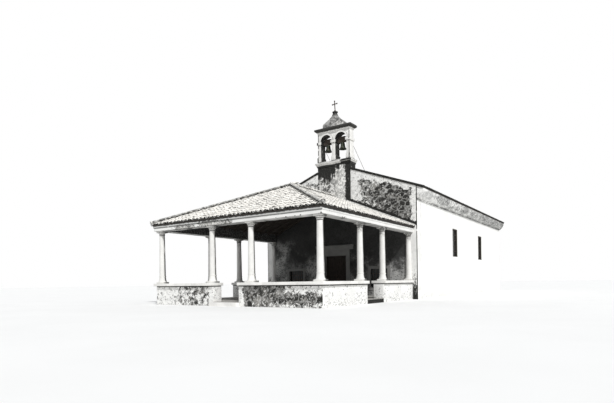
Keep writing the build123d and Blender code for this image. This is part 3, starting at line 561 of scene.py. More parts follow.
class Recipe(Nodes):
    """One procedural material, laid on coat by coat."""

    def __init__(self, name):
        self.material = bpy.data.materials.new(name)
        self.material.use_nodes = True
        super().__init__(self.material.node_tree)
        self.place = self.add("ShaderNodeTexCoord", "Object")
        self.x, self.y, self.z = (self.add("ShaderNodeSeparateXYZ", letter, self.place) for letter in "XYZ")
        masonry = bpy.context.scene.chapel_masonry
        self.lime, self.stone = Vector(masonry.lime), Vector(masonry.ashlar)
        self.dark = Vector(masonry.rubble)

    def noise(self, scale, detail=4.0, roughness=0.55, stretch=None):
        place = self.add("ShaderNodeMapping", 0, Vector=self.place, Scale=stretch) if stretch else self.place
        settings = {"Scale": scale, "Detail": detail, "Roughness": roughness}
        return self.add("ShaderNodeTexNoise", "Fac", Vector=place, **settings)

    def normal(self, letter):
        return self.add("ShaderNodeSeparateXYZ", letter, self.add("ShaderNodeNewGeometry", "Normal"))

    def attribute(self, name):
        return self.add("ShaderNodeAttribute", "Fac", attribute_name=name)

    def mix(self, share, first, second):
        """One colour turned into another by a share."""
        mixed = self.add("ShaderNodeMix", 2, share, data_type="RGBA")
        self.join(first, mixed.socket.node.inputs[6])
        self.join(second, mixed.socket.node.inputs[7])
        return mixed

    def coat(self, share, colour):
        """Lays a colour over the present one."""
        self.colour = self.mix(share, self.colour, colour)

    def done(self, rough, height, bump=0.01, metallic=0.0):
        """Joins colour, roughness and fine relief to the shader."""
        values = {"Base Color": self.colour, "Roughness": rough, "Metallic": metallic}
        values["Specular IOR Level"] = 0.25
        if bump:
            values["Normal"] = self.add("ShaderNodeBump", 0, Height=height, Strength=0.8, Distance=bump)
        for name, value in values.items():
            self.join(value, self.tree.nodes["Principled BSDF"].inputs[name])
        return self.material


def limewash(recipe):
    """White lime over rubble, speckled where the ground splashes it, and black inside the side walls'
    thickness: painted shade on the window reveals and inner faces.
    """
    lime = recipe.colour = recipe.lime
    x, y, z = recipe.x, recipe.y, recipe.z
    fine = recipe.noise(9, 8, 0.7)
    recipe.coat(recipe.noise(0.7, 6).span(0.35, 0.75), lime * 0.93)
    recipe.coat(fine.span(0.64, 0.8, 0, 0.2), lime * 0.6)
    streaks = recipe.noise(3, 5, stretch=(3, 3, 0.25)).span(0.52, 0.7, 0, 0.25)
    recipe.coat(streaks * z.span(GABLE_FOOT - 0.7, GABLE_FOOT + 0.1), lime * 0.45)
    specks = recipe.noise(26, 3, 0.6).span(0.57, 0.63)
    recipe.coat(z.span(0.5, 0.03) * specks * 0.85, BLACK)
    # Painted shade: black on faces within the side walls' thickness, short of the rear wall, such as the window
    # reveals.
    inner = abs(x).span(HALF - 0.015, HALF - 0.025)
    recipe.coat(inner * y.span(BACK - WALL, BACK - WALL - 0.01) * 0.94, BLACK)
    return recipe.done(0.92, fine * 0.5 + recipe.noise(45, 4), 0.006)


def coping_shadow(z):
    """Painted shadow: black just under the overhang of the coping."""
    return z.span(COPING_BOTTOM - 0.05, COPING_BOTTOM - 0.028)


def parapet_lime(recipe):
    """Limewash of the low walls, splashed and chipped, with painted shadow, black, under the coping."""
    lime = recipe.colour = recipe.lime
    y, z = recipe.y, recipe.z
    recipe.coat(recipe.noise(1.4, 6).span(0.4, 0.7), lime * 0.9)
    chips = recipe.noise(11, 4, 0.6).span(0.61, 0.66) * 0.75
    splash = z.span(0.6, 0.05) * recipe.noise(30, 3, 0.6).span(0.56, 0.62) * 0.9
    edge = y.near(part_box("porch_floor")[0].y, 0.02) * 0.8
    # Black splashes, chips and an upright joint, and painted shadow under the coping.
    recipe.coat(splash | chips | coping_shadow(z) | edge, BLACK)
    return recipe.done(0.92, recipe.noise(36, 6, 0.65), 0.008)


def cornice_plaster(recipe):
    """Lime plaster of the eaves cove, stained along its lower edge and towards its far end."""
    lime = recipe.colour = recipe.lime
    y, z = recipe.y, recipe.z
    fine = recipe.noise(8, 8, 0.76)
    recipe.coat(recipe.noise(1.5, 7, 0.65, (1, 0.6, 2)).span(0.42, 0.62, 0, 0.7), lime * 0.32)
    upper = z.span(GABLE_FOOT + 0.06, GABLE_FOOT + 0.2, 0.35, 1)
    away = y.span(FRONT + 0.6, FRONT + 2.2, 0.3, 1)
    recipe.coat(fine.span(0.49, 0.58, 0, 0.9) * upper * away, lime * 0.06)
    low = z.span(GABLE_FOOT + 0.1, GABLE_FOOT + 0.01)
    recipe.coat(low * recipe.noise(5, 6, 0.7).span(0.42, 0.52) * 0.92, lime * 0.06)
    recipe.coat(y.span(FRONT + 3, BACK - 3, 0, 0.7) * fine.span(0.36, 0.55), lime * 0.12)
    return recipe.done(0.92, recipe.noise(22, 6, 0.65), 0.012)


def rain_corner(recipe, across):
    """Black down the outer corners of the front."""
    return across.span(HALF - 0.045, HALF - 0.03) * recipe.noise(5, 5).span(0.33, 0.42)


def rubble(recipe):
    """Lichened fieldstones in pale mortar, with their own tones, what plaster still clings to them, and painted
    shadow, black, under the coping and just above the porch roof.
    """
    lime, dark = recipe.lime, recipe.dark
    x, y, z = recipe.x, recipe.y, recipe.z
    across, gable = abs(x), z.span(3, 3.1)
    stone = recipe.mix(recipe.attribute("tone").span(0.1, 0.9), dark * 0.35, dark * 2)
    stone = recipe.mix(recipe.noise(17, 6, 0.72).span(0.54, 0.6) * 0.9, stone, lime * 0.95)
    sooty = x.span(1.8, 3.4) * gable * z.span(4.1, 4.9, 0.3, 1) * 0.09
    black = (recipe.noise(3.2, 8, 0.74) + sooty).span(0.46, 0.53)
    stone = recipe.mix(black * 0.95, stone, BLACK)
    recipe.colour = recipe.mix(recipe.noise(12, 5).span(0.35, 0.65), lime * 0.5, dark * 0.8)
    recipe.coat(recipe.attribute("stone").span(0.1, 0.4), stone)
    plaster = recipe.mix(recipe.noise(7, 6, 0.7).span(0.42, 0.7), lime * 1.05, lime * 0.75)
    plaster = recipe.mix(recipe.noise(15, 6, 0.7).span(0.57, 0.64, 0, 0.9), plaster, lime * 0.08)
    ragged = recipe.noise(5, 8, 0.78).span(0.36, 0.64, -0.5, 0.5)
    recipe.coat((recipe.attribute("plaster") + ragged).span(0.44, 0.56), plaster)
    # Painted shadow under the coping, on the front parapet's rubble.
    recipe.coat(coping_shadow(z) * y.span(ROW + 0.3, ROW + 0.2), BLACK)
    # Painted shadow: a black band on the gable just above the porch roof; rain stains down the outer corners.
    damp_and_shade = z + across * PORCH.slope + recipe.noise(9, 5).span(0.3, 0.7, -0.06, 0.05)
    shadow_over_roof = damp_and_shade.span(PORCH.ridge + 0.18, PORCH.ridge + 0.14) * gable
    recipe.coat(shadow_over_roof | rain_corner(recipe, across) * y.span(FRONT - 0.1, FRONT - 0.05), BLACK)
    return recipe.done(0.95, recipe.noise(38, 6, 0.7), 0.014)


def porch_plaster(recipe):
    """Plaster under the porch roof, painted dark and mottled as the porch's shade, darker high up and towards
    the left, and limewash on the strip outside it.
    """
    lime = recipe.lime
    x, z = recipe.x, recipe.z
    across, facing = abs(x), recipe.normal("Y").span(-0.3, -0.6)
    broad, fine = recipe.noise(1.3, 7, 0.65), recipe.noise(14, 6, 0.72)
    # Painted shade: the plaster under the porch roof is darkened, and darker still higher up and towards the
    # left.
    recipe.colour = recipe.mix(broad.span(0.35, 0.66), lime * 0.6, lime * 0.2)
    porch_shade_depth = z + x.span(-1.6, -2.6, 0, -0.7) + broad.span(0.3, 0.7, -0.5, 0.5)
    recipe.coat(porch_shade_depth.span(0.8, 2.1) * 0.95, lime * 0.04)
    recipe.coat(fine.span(0.5, 0.6, 0, 0.7), lime * 0.03)
    recipe.coat(recipe.noise(23, 5, 0.7).span(0.62, 0.68, 0, 0.4), lime * 0.5)
    outside = recipe.mix(recipe.noise(3, 6).span(0.4, 0.7), lime, lime * 0.85)
    damp_and_shade = (z + fine.span(0.3, 0.7, -0.5, 0.5)).span(1.25, 0.35)
    for black in (damp_and_shade, rain_corner(recipe, across)):
        outside = recipe.mix(black * facing, outside, BLACK)
    above = z.span(COPING_TOP - 0.01, COPING_TOP, 0, 0.15)
    recipe.coat((across + above).span(PARAPET_OUT + 0.005, PARAPET_OUT + 0.02), outside)
    return recipe.done(0.95, recipe.noise(30, 6, 0.7), 0.01)


def ashlar(recipe, tint=1.0, bands=(), edge=None, wear_and_shade=None):
    """Dressed limestone, black in bands of levels or beyond an edge, with one more coat of wear and painted
    shade.
    """
    stone = recipe.colour = recipe.stone * tint
    x, z = recipe.x, recipe.z
    fine = recipe.noise(24, 7, 0.7)
    recipe.coat(recipe.noise(2.3, 6, 0.6).span(0.35, 0.7), stone * 0.86)
    recipe.coat(fine.span(0.58, 0.7, 0, 0.4), stone * 0.4)
    ragged = recipe.noise(9, 6, 0.7).span(0.3, 0.7, -0.02, 0.02)
    # Black bands at given levels: painted shade under mouldings, and the upper cornice's black top.
    for low, high in bands:
        wavy = z + ragged * 0.5
        inside = wavy.span(low - 0.008, low + 0.008) * wavy.span(high + 0.008, high - 0.008)
        recipe.coat(inside * 0.96, BLACK)
    if wear_and_shade:
        wear_and_shade(recipe)
    if edge:
        rain = (x + ragged * 2.5).span(edge - 0.04, edge + 0.02) * recipe.normal("Y").span(-0.4, -0.7)
        recipe.coat(rain * recipe.noise(16, 6, 0.7).span(0.58, 0.64, 1, 0.6), BLACK)
    return recipe.done(0.88, fine * 0.7 + recipe.noise(60, 4), 0.005)


def shaded_openings(recipe):
    """Painted shade, black, on the faces inside the openings, the jambs and the arches' soffits, and black
    along the front's outer edges.
    """
    out, facing = abs(recipe.x), recipe.normal("Y")
    shade_strength = recipe.noise(7, 6, 0.7).span(0.3, 0.5, 0.75, 1)
    # Painted shade on faces that turn away from the front, inside the bell openings.
    recipe.coat(abs(facing).span(0.6, 0.4) * out.span(COTE_HALF - 0.02, COTE_HALF - 0.04) * shade_strength, BLACK)
    arris = out.span(COTE_HALF - 0.05, COTE_HALF - 0.035) * facing.span(-0.4, -0.7)
    recipe.coat(arris * recipe.noise(6, 5).span(0.36, 0.46) * 0.95, BLACK)


def shaded_columns(recipe):
    """A broken black band of painted shade down the right and back side of the free columns, and grey mottled
    heads behind the front row.
    """
    y, z = recipe.y, recipe.z
    side = recipe.normal("X") * 0.86 + recipe.normal("Y") * 0.5
    broken = recipe.noise(4, 6, 0.7, (2, 2, 0.5)).span(0.34, 0.5, 0.4, 1)
    # Painted shade down the side of each free column that faces right and back.
    recipe.coat(side.span(0.74, 0.9) * broken * y.span(FRONT - 0.2, FRONT - 0.25) * 0.92, BLACK)
    head = z.span(NECK - 0.3, NECK - 0.06) * y.span(ROW + 0.5, ROW + 0.7)
    recipe.coat(head * recipe.noise(13, 6, 0.72).span(0.4, 0.54, 0, 0.85), recipe.stone * 0.2)


def crusted(recipe):
    """A black crust that hangs from the pier's top, broken by a pale and speckled part of its front."""
    x, z = recipe.x, recipe.z
    wave = x + recipe.noise(3.5, 7, 0.75).span(0.3, 0.7, -0.22, 0.22)
    pale = wave.span(0.0, 0.25) * recipe.normal("Y").span(-0.4, -0.7)
    recipe.coat(pale * 0.85, recipe.stone * 1.12)
    recipe.coat(recipe.noise(15, 6, 0.74).span(0.57, 0.62) * pale * 0.9, BLACK)
    runs = recipe.noise(2.6, 6, 0.62, (2.4, 2.4, 0.55)) + z.span(PIER.z - 1.15, PIER.z - 0.1, -0.1, 0.26)
    black = (runs + pale * -0.15).span(0.54, 0.62)
    mottle = recipe.noise(8, 8, 0.76).span(0.47, 0.54, 0, 0.9) * x.span(0.4, -0.3, 0.5, 1)
    light = recipe.noise(21, 5, 0.7).span(0.6, 0.66, 1, 0.75)
    recipe.coat((black | mottle) * light, BLACK)


def cap_stone(recipe):
    """Grey mottled stone of the bell cote's cap, pale at its foot's right and black at its knob."""
    stone = recipe.stone
    x, z = recipe.x, recipe.z
    foot, top = (corner.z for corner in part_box("belfry_cap"))
    recipe.colour = recipe.mix(recipe.noise(5, 7, 0.7).span(0.4, 0.6), stone * 0.42, stone * 0.1)
    recipe.coat(recipe.noise(19, 6, 0.7).span(0.52, 0.6, 0, 0.75), stone * 0.75)
    light = z.span(foot + 0.2, foot + 0.05) * x.span(-0.3, 0.3) * recipe.noise(9, 5).span(0.4, 0.55)
    recipe.coat(light * 0.8, stone)
    recipe.coat(z.span(top - 0.3, top - 0.15) * 0.85, BLACK)
    return recipe.done(0.92, recipe.noise(34, 6, 0.7), 0.01)


def roof_clay(recipe):
    """Weathered barrel tiles, white on their crowns, with painted shade, black, on their flanks, below each
    tile's lip and along the eaves.
    """
    clay, tone = Vector(bpy.context.scene.chapel_roof.clay), recipe.attribute("tone")
    recipe.colour = recipe.mix(tone, clay * 0.05, clay * 1.35)
    recipe.coat(recipe.noise(9, 7, 0.7).span(0.52, 0.64) * tone * 0.7, (0.8, 0.8, 0.77))
    recipe.coat(recipe.noise(6, 8, 0.78).span(0.56, 0.61) * 0.9, BLACK)
    ragged = recipe.noise(11, 6, 0.7).span(0.3, 0.7, -0.22, 0.22)
    # Painted shade: black down the tiles' flanks, below the lip of the tile above, and near the nave's eaves.
    flank_shade = (recipe.attribute("flank_shade") + ragged).span(0.45, 0.6)
    lip_shadow = recipe.attribute("run").span(0.69, 0.79) * recipe.noise(7, 5).span(0.46, 0.53) * 0.9
    recipe.coat(recipe.attribute("edge") | flank_shade | lip_shadow, BLACK)
    return recipe.done(0.92, recipe.noise(48, 6, 0.7), 0.006)


def beam_plaster(recipe):
    """Limewashed beams, bare and grey where the coat has fallen, with painted shadow, black, under the fascia,
    under the eaves and on the beams' undersides, and painted dark shade on their faces inside the porch.
    """
    lime = recipe.colour = recipe.lime
    x, y, z = recipe.x, recipe.y, recipe.z
    fine, facing = recipe.noise(15, 7, 0.7), recipe.normal("Y").span(-0.3, -0.6)
    recipe.coat(recipe.noise(1.6, 6).span(0.4, 0.72), lime * 0.86)
    recipe.coat(fine.span(0.62, 0.74, 0, 0.35), lime * 0.4)
    under = recipe.mix(recipe.noise(20, 5).span(0.44, 0.6), (0.66, 0.65, 0.62), (0.22, 0.215, 0.2))
    bare = recipe.attribute("bare") + recipe.noise(9, 5).span(0.3, 0.7, -0.25, 0.25)
    recipe.coat(bare.span(0.45, 0.55), under)
    recipe.coat(bare.near(0.5, 0.1) * 0.8, BLACK)
    # Painted shadow: a broken black line under the fascia, on the front faces.
    broken = recipe.noise(3.5, 4, stretch=(1, 1, 0.2)).span(0.3, 0.42)
    recipe.coat(z.near(FASCIA_BOTTOM, 0.024) * broken * facing * 0.9, BLACK)
    # Painted shade, black, on the beams' undersides with a ragged band above, and painted shadow just under the
    # eaves.
    underside_shade_level = z - recipe.noise(2.1, 6, 0.72, (1, 1, 0.3)).span(0.57, 0.63, 0, 0.045)
    eaves_shadow_level = z + recipe.noise(12, 4).span(0.3, 0.7, -0.012, 0.012) - facing * 0.018
    eaves_shadow = eaves_shadow_level.span(PORCH.soffit - 0.035, PORCH.soffit - 0.022)
    recipe.coat((underside_shade_level.span(BEAM_BOTTOM + 0.005, BEAM_BOTTOM - 0.005) | eaves_shadow) * 0.92, BLACK)
    # Painted shade: dark on the beams' faces inside the porch.
    inside_shade = abs(x).span(BEAM_INNER + 0.03, BEAM_INNER + 0.015) * y.span(ROW + 0.19, ROW + 0.205)
    recipe.coat(inside_shade, recipe.mix(fine.span(0.45, 0.6), lime * 0.035, lime * 0.16))
    return recipe.done(0.93, recipe.noise(28, 6, 0.7), 0.008)


def flagstones(recipe):
    """Worn paving slabs, each with its own tone from bricks that lie where the slabs do."""
    masonry = bpy.context.scene.chapel_masonry
    sizes = {"Brick_Width": masonry.flag_length, "Row_Height": masonry.flag_width, "Mortar_Size": 0}
    tones = {"Color1": (0.46, 0.45, 0.42), "Color2": (0.30, 0.29, 0.27)}
    recipe.colour = recipe.add("ShaderNodeTexBrick", "Color", recipe.place, Scale=1, **sizes, **tones)
    recipe.coat(recipe.noise(5, 7, 0.65).span(0.4, 0.7) * 0.5, (0.16, 0.15, 0.14))
    return recipe.done(0.8, recipe.noise(18, 6), 0.004)


def old_glass(recipe):
    """Small old panes, painted almost black as the shade of the dark inside behind them."""
    wave = recipe.noise(3.5, 3)
    recipe.colour = recipe.mix(wave.span(0.3, 0.7), (0.012, 0.014, 0.015), (0.03, 0.034, 0.035))
    return recipe.done(recipe.noise(24, 5).span(0.4, 0.7, 0.08, 0.3), wave, 0.003)


def blotched(recipe, first, second, blotches, limits, rough, relief=None, bump=0.01, metallic=0.0):
    """Two colours in blotches. Their noise also gives roughness within limits, and relief if left out."""
    blotch = recipe.noise(*blotches)
    recipe.colour = recipe.mix(blotch.span(*limits), first, second)
    rough = blotch.span(*rough) if isinstance(rough, tuple) else rough
    return recipe.done(rough, recipe.noise(*relief) if relief else blotch, bump, metallic)


def black_edge(recipe):
    """Black tile and mortar edges: rain-blackened verges, dark floor joints, and painted shade in the hollows
    under the lowest tiles.
    """
    return blotched(recipe, BLACK, GREY, (12, 6, 0.7), (0.58, 0.68), 0.95, (30, 6, 0.7))


def eaves_mortar(recipe):
    """Mortar under the lowest tiles, half of it painted black as shade in the hollows under the covers."""
    return blotched(recipe, recipe.lime * 0.95, BLACK, (4.5, 4), (0.47, 0.52), 0.95, (34, 6, 0.7), 0.012)


def lime_mortar(recipe):
    """Pale bedding mortar."""
    lime = recipe.lime
    return blotched(recipe, lime * 0.85, lime * 0.3, (11, 6, 0.7), (0.4, 0.65), 0.95, (34, 6, 0.7), 0.012)


def old_timber(recipe, oak, grain):
    """Sawn oak, grey-brown, with its grain along the axis that is stretched least."""
    return blotched(recipe, oak * 1.5, oak * 0.5, (6, 8, 0.7, grain), (0.35, 0.68), 0.85)


def old_iron(recipe):
    """Wrought iron under brown rust."""
    iron, rust, rough = (0.035, 0.033, 0.032), (0.13, 0.075, 0.045), (0.3, 0.7, 0.5, 0.85)
    return blotched(recipe, iron, rust, (40, 6, 0.7), (0.4, 0.7), rough, None, 0.002, 0.6)


def bell_bronze(recipe):
    """Dark bronze with a thin green-black skin."""
    bronze, skin, rough = (0.07, 0.06, 0.045), (0.05, 0.075, 0.06), (0.3, 0.7, 0.35, 0.6)
    return blotched(recipe, bronze, skin, (18, 6, 0.65), (0.4, 0.66), rough, None, 0.0015, 0.85)


def lower_cornice_stone(recipe):
    """Limestone with painted shade, black, under the upper moulding and along the foot, and black at the right
    end.
    """
    foot, top = (corner.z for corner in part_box("belfry_lower_cornice"))
    return ashlar(recipe, 1.06, ((top - 0.072, top - 0.035), (foot - 0.05, foot + 0.07)), edge=0.42)


def upper_cornice_stone(recipe):
    """Limestone black along the top: grime on the top slab, and painted shadow beneath it."""
    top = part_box("belfry_upper_cornice")[1].z
    return ashlar(recipe, 1.06, ((top - 0.15, top + 0.05),))


def column_limestone(recipe):
    """Limestone with painted shade: dark lines under a column's ring and its capital."""
    lines = ((NECK - 0.06, NECK - 0.034), (NECK + 0.002, NECK + 0.022), (NECK + 0.05, NECK + 0.066))
    return ashlar(recipe, bands=lines, wear_and_shade=shaded_columns)


def coping_stone(recipe):
    """Limestone that rain keeps clean."""
    return ashlar(recipe, 1.06)


def smoked_limestone(recipe):
    """Limestone darkened as painted shade for the dark porch."""
    return ashlar(recipe, 0.3)


def crusted_limestone(recipe):
    """Limestone of the pier under its black crust."""
    return ashlar(recipe, edge=0.63, wear_and_shade=crusted)


def cote_limestone(recipe):
    """Limestone of the bell cote's posts and arches."""
    return ashlar(recipe, 1.06, wear_and_shade=shaded_openings)


def roof_timber(recipe):
    """Grey oak with its grain along Y."""
    return old_timber(recipe, Vector((0.05, 0.042, 0.035)), (9, 1.2, 9))


def door_planks(recipe):
    """Dark oak with its grain upright."""
    return old_timber(recipe, Vector((0.035, 0.028, 0.024)), (9, 9, 1.2))


@functools.cache
def finish(coats):
    """The material that a function lays coat by coat, named after it and made once."""
    return coats(Recipe(coats.__name__))


# Roofs
def one_tile(width, narrow, rise, hollow_up=False):
    """A barrel tile along Y with its crown at level 0: an arc of a tube, tapered and given its thickness."""
    roof = bpy.context.scene.chapel_roof
    long = roof.tile_length
    radius = (width * width / 4 + rise * rise) / (2 * rise)
    deselect()
    bpy.ops.mesh.primitive_cylinder_add(
        vertices=20, radius=radius, depth=long, end_fill_type="NOTHING", rotation=(math.pi / 2, 0, 0)
    )
    tile = settle(fresh("tile"))
    cut(tile, (0, 0, radius - rise), (0, 0, -1), away=True)
    tile.location = (0, long / 2, -radius)
    edit(settle(tile), lambda place: place.y > long / 2)
    share = narrow / width
    bpy.ops.transform.resize(value=(share, 1, share), center_override=(0, long, 0))
    leave()
    modify(tile, "SOLIDIFY", thickness=roof.tile_wall, offset=-1.0)
    if hollow_up:
        tile.scale = (1, 1, -1)
        settle(tile)
    return outward(tile)


def tile_rows(name, tile, fall, offset, counts, seed, turn, slide, shades):
    """Tiles laid by hand up and across a slope, with their tones and how far each point is down and along."""
    roof = bpy.context.scene.chapel_roof
    # How far each point lies down its tile's flank, kept for the painted shade there.
    flanks = [max(-vertex.co.z / fall, 0.0) for vertex in tile.data.vertices]
    runs = [vertex.co.y / roof.tile_length for vertex in tile.data.vertices]
    tile.location = offset
    edit(settle(tile), lambda place: place.y > roof.tile_length / 2)
    sink = roof.tile_wall * 1.3 * roof.tile_length / roof.exposed
    bpy.ops.transform.translate(value=(0, 0, -sink))
    leave()
    row_of(tile, counts[0], (0, roof.exposed, 0))
    row_of(tile, counts[1], (roof.pitch, 0, 0))
    tones = by_hand(tile, len(runs), seed, turn, slide)
    count = len(tones) // len(runs)
    low, high = shades
    keep(tile, "tone", low + (high - low) * tones)
    keep(tile, "flank_shade", np.tile(flanks, count))
    keep(tile, "run", np.tile(runs, count))
    tile.name = name
    return tile


def tile_field(name, across, up, bottom, seed, hollow_up=False):
    """Rows of tiles over a rectangle of roof, in the slope's own axes."""
    roof = bpy.context.scene.chapel_roof
    tile = one_tile(roof.tile_width, roof.tile_width * 0.84, roof.tile_rise, hollow_up)
    offset = (0 if hollow_up else roof.pitch / 2, 0, bottom)
    counts = math.ceil(up / roof.exposed), math.ceil(across / roof.pitch)
    # Channel tiles take the darkest tones: dirt in the hollows, and painted shade there.
    tones = (0.0, 0.1) if hollow_up else (0.72, 1.0)
    return tile_rows(name, tile, roof.tile_rise, offset, counts, seed, 0.012, 0.0035, tones)


def laid_on_slope(piece, corner, along, upward):
    """Moves a piece from its own axes onto a roof slope."""
    along, upward = Vector(along).normalized(), Vector(upward).normalized()
    turn = Matrix((along, upward, along.cross(upward))).transposed().to_4x4()
    piece.matrix_world = Matrix.Translation(corner) @ turn
    return settle(piece)


def lay_slope(name, pitch, corner, along, across, seed, cuts):
    """Cover tiles over channel tiles, boards and bedding of one slope, cut to its outline."""
    roof = bpy.context.scene.chapel_roof
    nave = pitch is NAVE
    deck = 0.02 - pitch.slab
    covers = tile_field(name + "_covers", across, pitch.run, 0.0, seed)
    channels = tile_field(name + "_channels", across, pitch.run, deck + 0.003, seed + 1, hollow_up=True)
    boards = block(name + "_boards", (0, 0.001, -pitch.slab), (across, roof.board - 0.006, deck), 0.002)
    row_of(boards, int(pitch.run / roof.board), (0, roof.board, 0))
    recess = 0.012 if nave else 0.05
    bedding = block(name + "_bedding", (0, recess, deck + 0.002), (across, recess + 0.05, -0.02), 0.004)
    near, far = roof.pitch / 2 - roof.tile_width * 0.32, roof.pitch / 2 + roof.tile_width * 0.32
    bottom, top = -roof.tile_rise - 0.006, -roof.tile_wall - 0.012
    plugs = block(name + "_plugs", (near, 0.012, bottom), (far, 0.1, top), 0.02)
    row_of(plugs, math.ceil(across / roof.pitch), (roof.pitch, 0, 0))
    corner, up = Vector(corner), Vector((0, 0, 1))
    inside = up.cross(along)
    for piece in (covers, channels, boards, bedding, plugs):
        laid_on_slope(piece, corner, along, inside + up * pitch.slope)
        for point, normal in ((corner, -inside), *cuts):
            cut(piece, point, normal, away=True, fill=True)
    tiles = joined(name.replace("_", "_tiles_", 1), [covers, channels])
    # Painted shade: the nave's tiles turn black near the eaves, under the tile ends.
    if nave:
        from_edge = [(vertex.co - corner).dot(inside) for vertex in tiles.data.vertices]
        mark(tiles, "edge", [ramp(distance, 0.13, 0.1) for distance in from_edge])
    return tiles, boards, bedding, plugs


def finish_slopes(slopes):
    """Finishes the tiles, boards and bedding of the given slopes."""
    for node, (tiles, boards, bedding, plugs) in slopes.items():
        finish_piece(tiles, "roof_tile", roof_clay, node, smooth=50)
        finish_piece(boards, "timber", roof_timber)
        # Bedding, and the nave's plugs, are black: painted shade in the hollows under the lowest tiles.
        finish_piece(bedding, "roof_tile", black_edge)
        finish_piece(plugs, "roof_tile", eaves_mortar if node.startswith("porch") else black_edge)


def slope_strip(name, pitch, foot, near, far, low, high, bevel=0.006):
    """A strip up the right slope of a roof, cut off at the ridge."""
    strip = block(name, (near, 0, low), (far, pitch.run, high), bevel)
    cut_often(strip, 1, 0, pitch.run, 0.3)
    laid_on_slope(strip, (pitch.half, foot, pitch.eaves), (0, 1, 0), (-1, 0, pitch.slope))
    cut(strip, (0, 0, 0), (-1, 0, 0), away=True, fill=True)
    return strip


class CHAPEL_OT_nave_roof(bpy.types.Operator):
    """Lays the barrel tiles, boards and verges of the nave roof"""

    bl_idname = "chapel.nave_roof"
    bl_label = "Nave roof"

    def execute(self, context):
        start, end = (corner.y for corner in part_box("nave_roof_right"))
        first, last = (0, start + VERGE_GAP, 0), (0, end - VERGE_GAP, 0)
        cuts = [((0, 0, 0), (-1, 0, 0)), (first, (0, -1, 0)), (last, (0, 1, 0))]
        corner = NAVE.half, start, NAVE.eaves
        right = lay_slope("nave_right", NAVE, corner, (0, 1, 0), end - start, 11, cuts)
        for piece in right:
            cut(piece, (PIER.x, 0, 0), (1, 0, 0))
            cut(piece, (0, PIER.y, 0), (0, 1, 0))
            drop(piece, lambda place: abs(place.x) < PIER.x and place.y < PIER.y)
        finish_slopes({"nave_roof_right": right, "nave_roof_left": [mirrored(piece) for piece in right]})
        for name, near in (("front", 0.0), ("rear", end - start - VERGE)):
            levels = 0.002 - NAVE.slab, -0.008
            verge = slope_strip(f"verge_{name}_right", NAVE, start, near, near + VERGE, *levels)
            if name == "front":
                cut(verge, (PIER.x, 0, 0), (-1, 0, 0), away=True, fill=True)
            lump(verge, 0.1, 0.008)
            for piece in (verge, mirrored(verge)):
                finish_piece(piece, "roof_tile", black_edge)
        return {"FINISHED"}


class CHAPEL_OT_porch_roof(bpy.types.Operator):
    """Lays the barrel tiles and boards of the hipped porch roof"""

    bl_idname = "chapel.porch_roof"
    bl_label = "Porch roof"

    def execute(self, context):
        half, eaves, deep = PORCH.half, PORCH.eaves, FRONT - PORCH_FRONT
        apex, hip, other = (0, PORCH_APEX, 0), Vector((1, 1, 0)).normalized(), Vector((-1, 1, 0)).normalized()
        cuts = [((0, 0, 0), (-1, 0, 0)), (apex, -hip), ((0, FRONT, 0), (0, 1, 0))]
        right = lay_slope("porch_right", PORCH, (half, PORCH_FRONT, eaves), (0, 1, 0), deep, 21, cuts)
        cuts = [(apex, hip), (apex, other)]
        front = lay_slope("porch_front", PORCH, (-half, PORCH_FRONT, eaves), (1, 0, 0), 2 * half, 31, cuts)
        left = [mirrored(piece) for piece in right]
        finish_slopes({"porch_roof_right": right, "porch_roof_left": left, "porch_roof_front": front})
        flashing = slope_strip("flashing_right", PORCH, PORCH_FRONT, deep - 0.07, deep, -0.05, 0.03, 0.02)
        lump(flashing, 0.12, 0.03)
        for piece in (flashing, mirrored(flashing)):
            finish_piece(piece, "limewash", lime_mortar, smooth=40)
        return {"FINISHED"}


def ridge_row(name, start, end, along, seed):
    """Ridge tiles from a start to a higher or level end."""
    proud = Vector((0, 0, RIDGE_PROUD))
    run = end - start
    count = math.ceil(run.length / bpy.context.scene.chapel_roof.exposed)
    tile, place, counts, tones = one_tile(*RIDGE_TILE), (0, 0, 0), (count, 1), (0.6, 1.0)
    tiles = tile_rows(name, tile, RIDGE_FALL, place, counts, seed, 0.02, 0.005, tones)
    return laid_on_slope(tiles, start + proud, along, run)


class CHAPEL_OT_ridges(bpy.types.Operator):
    """Lays ridge tiles in mortar along the ridges and the two hips"""

    bl_idname = "chapel.ridges"
    bl_label = "Ridges and hips"

    def execute(self, context):
        behind, far = Vector((0, PIER.y, NAVE.ridge)), Vector((0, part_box("nave_roof_right")[1].y, NAVE.ridge))
        apex, wall = Vector((0, PORCH_APEX, PORCH.ridge)), Vector((0, FRONT, PORCH.ridge))
        corner = Vector((PORCH.half, PORCH_FRONT, PORCH.eaves))
        nave = ridge_row("nave_ridge_tiles", behind, far, (1, 0, 0), 41)
        porch = ridge_row("porch_ridge_tiles", apex, wall, (1, 0, 0), 42)
        hip = ridge_row("hip_tiles_right", corner, apex, (1, 1, 0), 43)
        for row, point, normal in (
            (nave, far, (0, 1, 0)),
            (porch, wall, (0, 1, 0)),
            (hip, corner, (1, 0, 0)),
            (hip, corner, (0, -1, 0)),
        ):
            cut(row, point, normal, away=True)
        for row in (nave, porch, hip, mirrored(hip)):
            finish_piece(row, "roof_tile", roof_clay, smooth=50)
        bed = node_copy("roof_ridges", "ridge_mortar", 0.012, (0, 0.15, 0))
        modify(bed, "DISPLACE", strength=RIDGE_MORTAR, mid_level=0.0)
        lump(bed, 0.1, 0.016)
        finish_piece(bed, "roof_tile", lime_mortar, "roof_ridges", smooth=40)
        return {"FINISHED"}


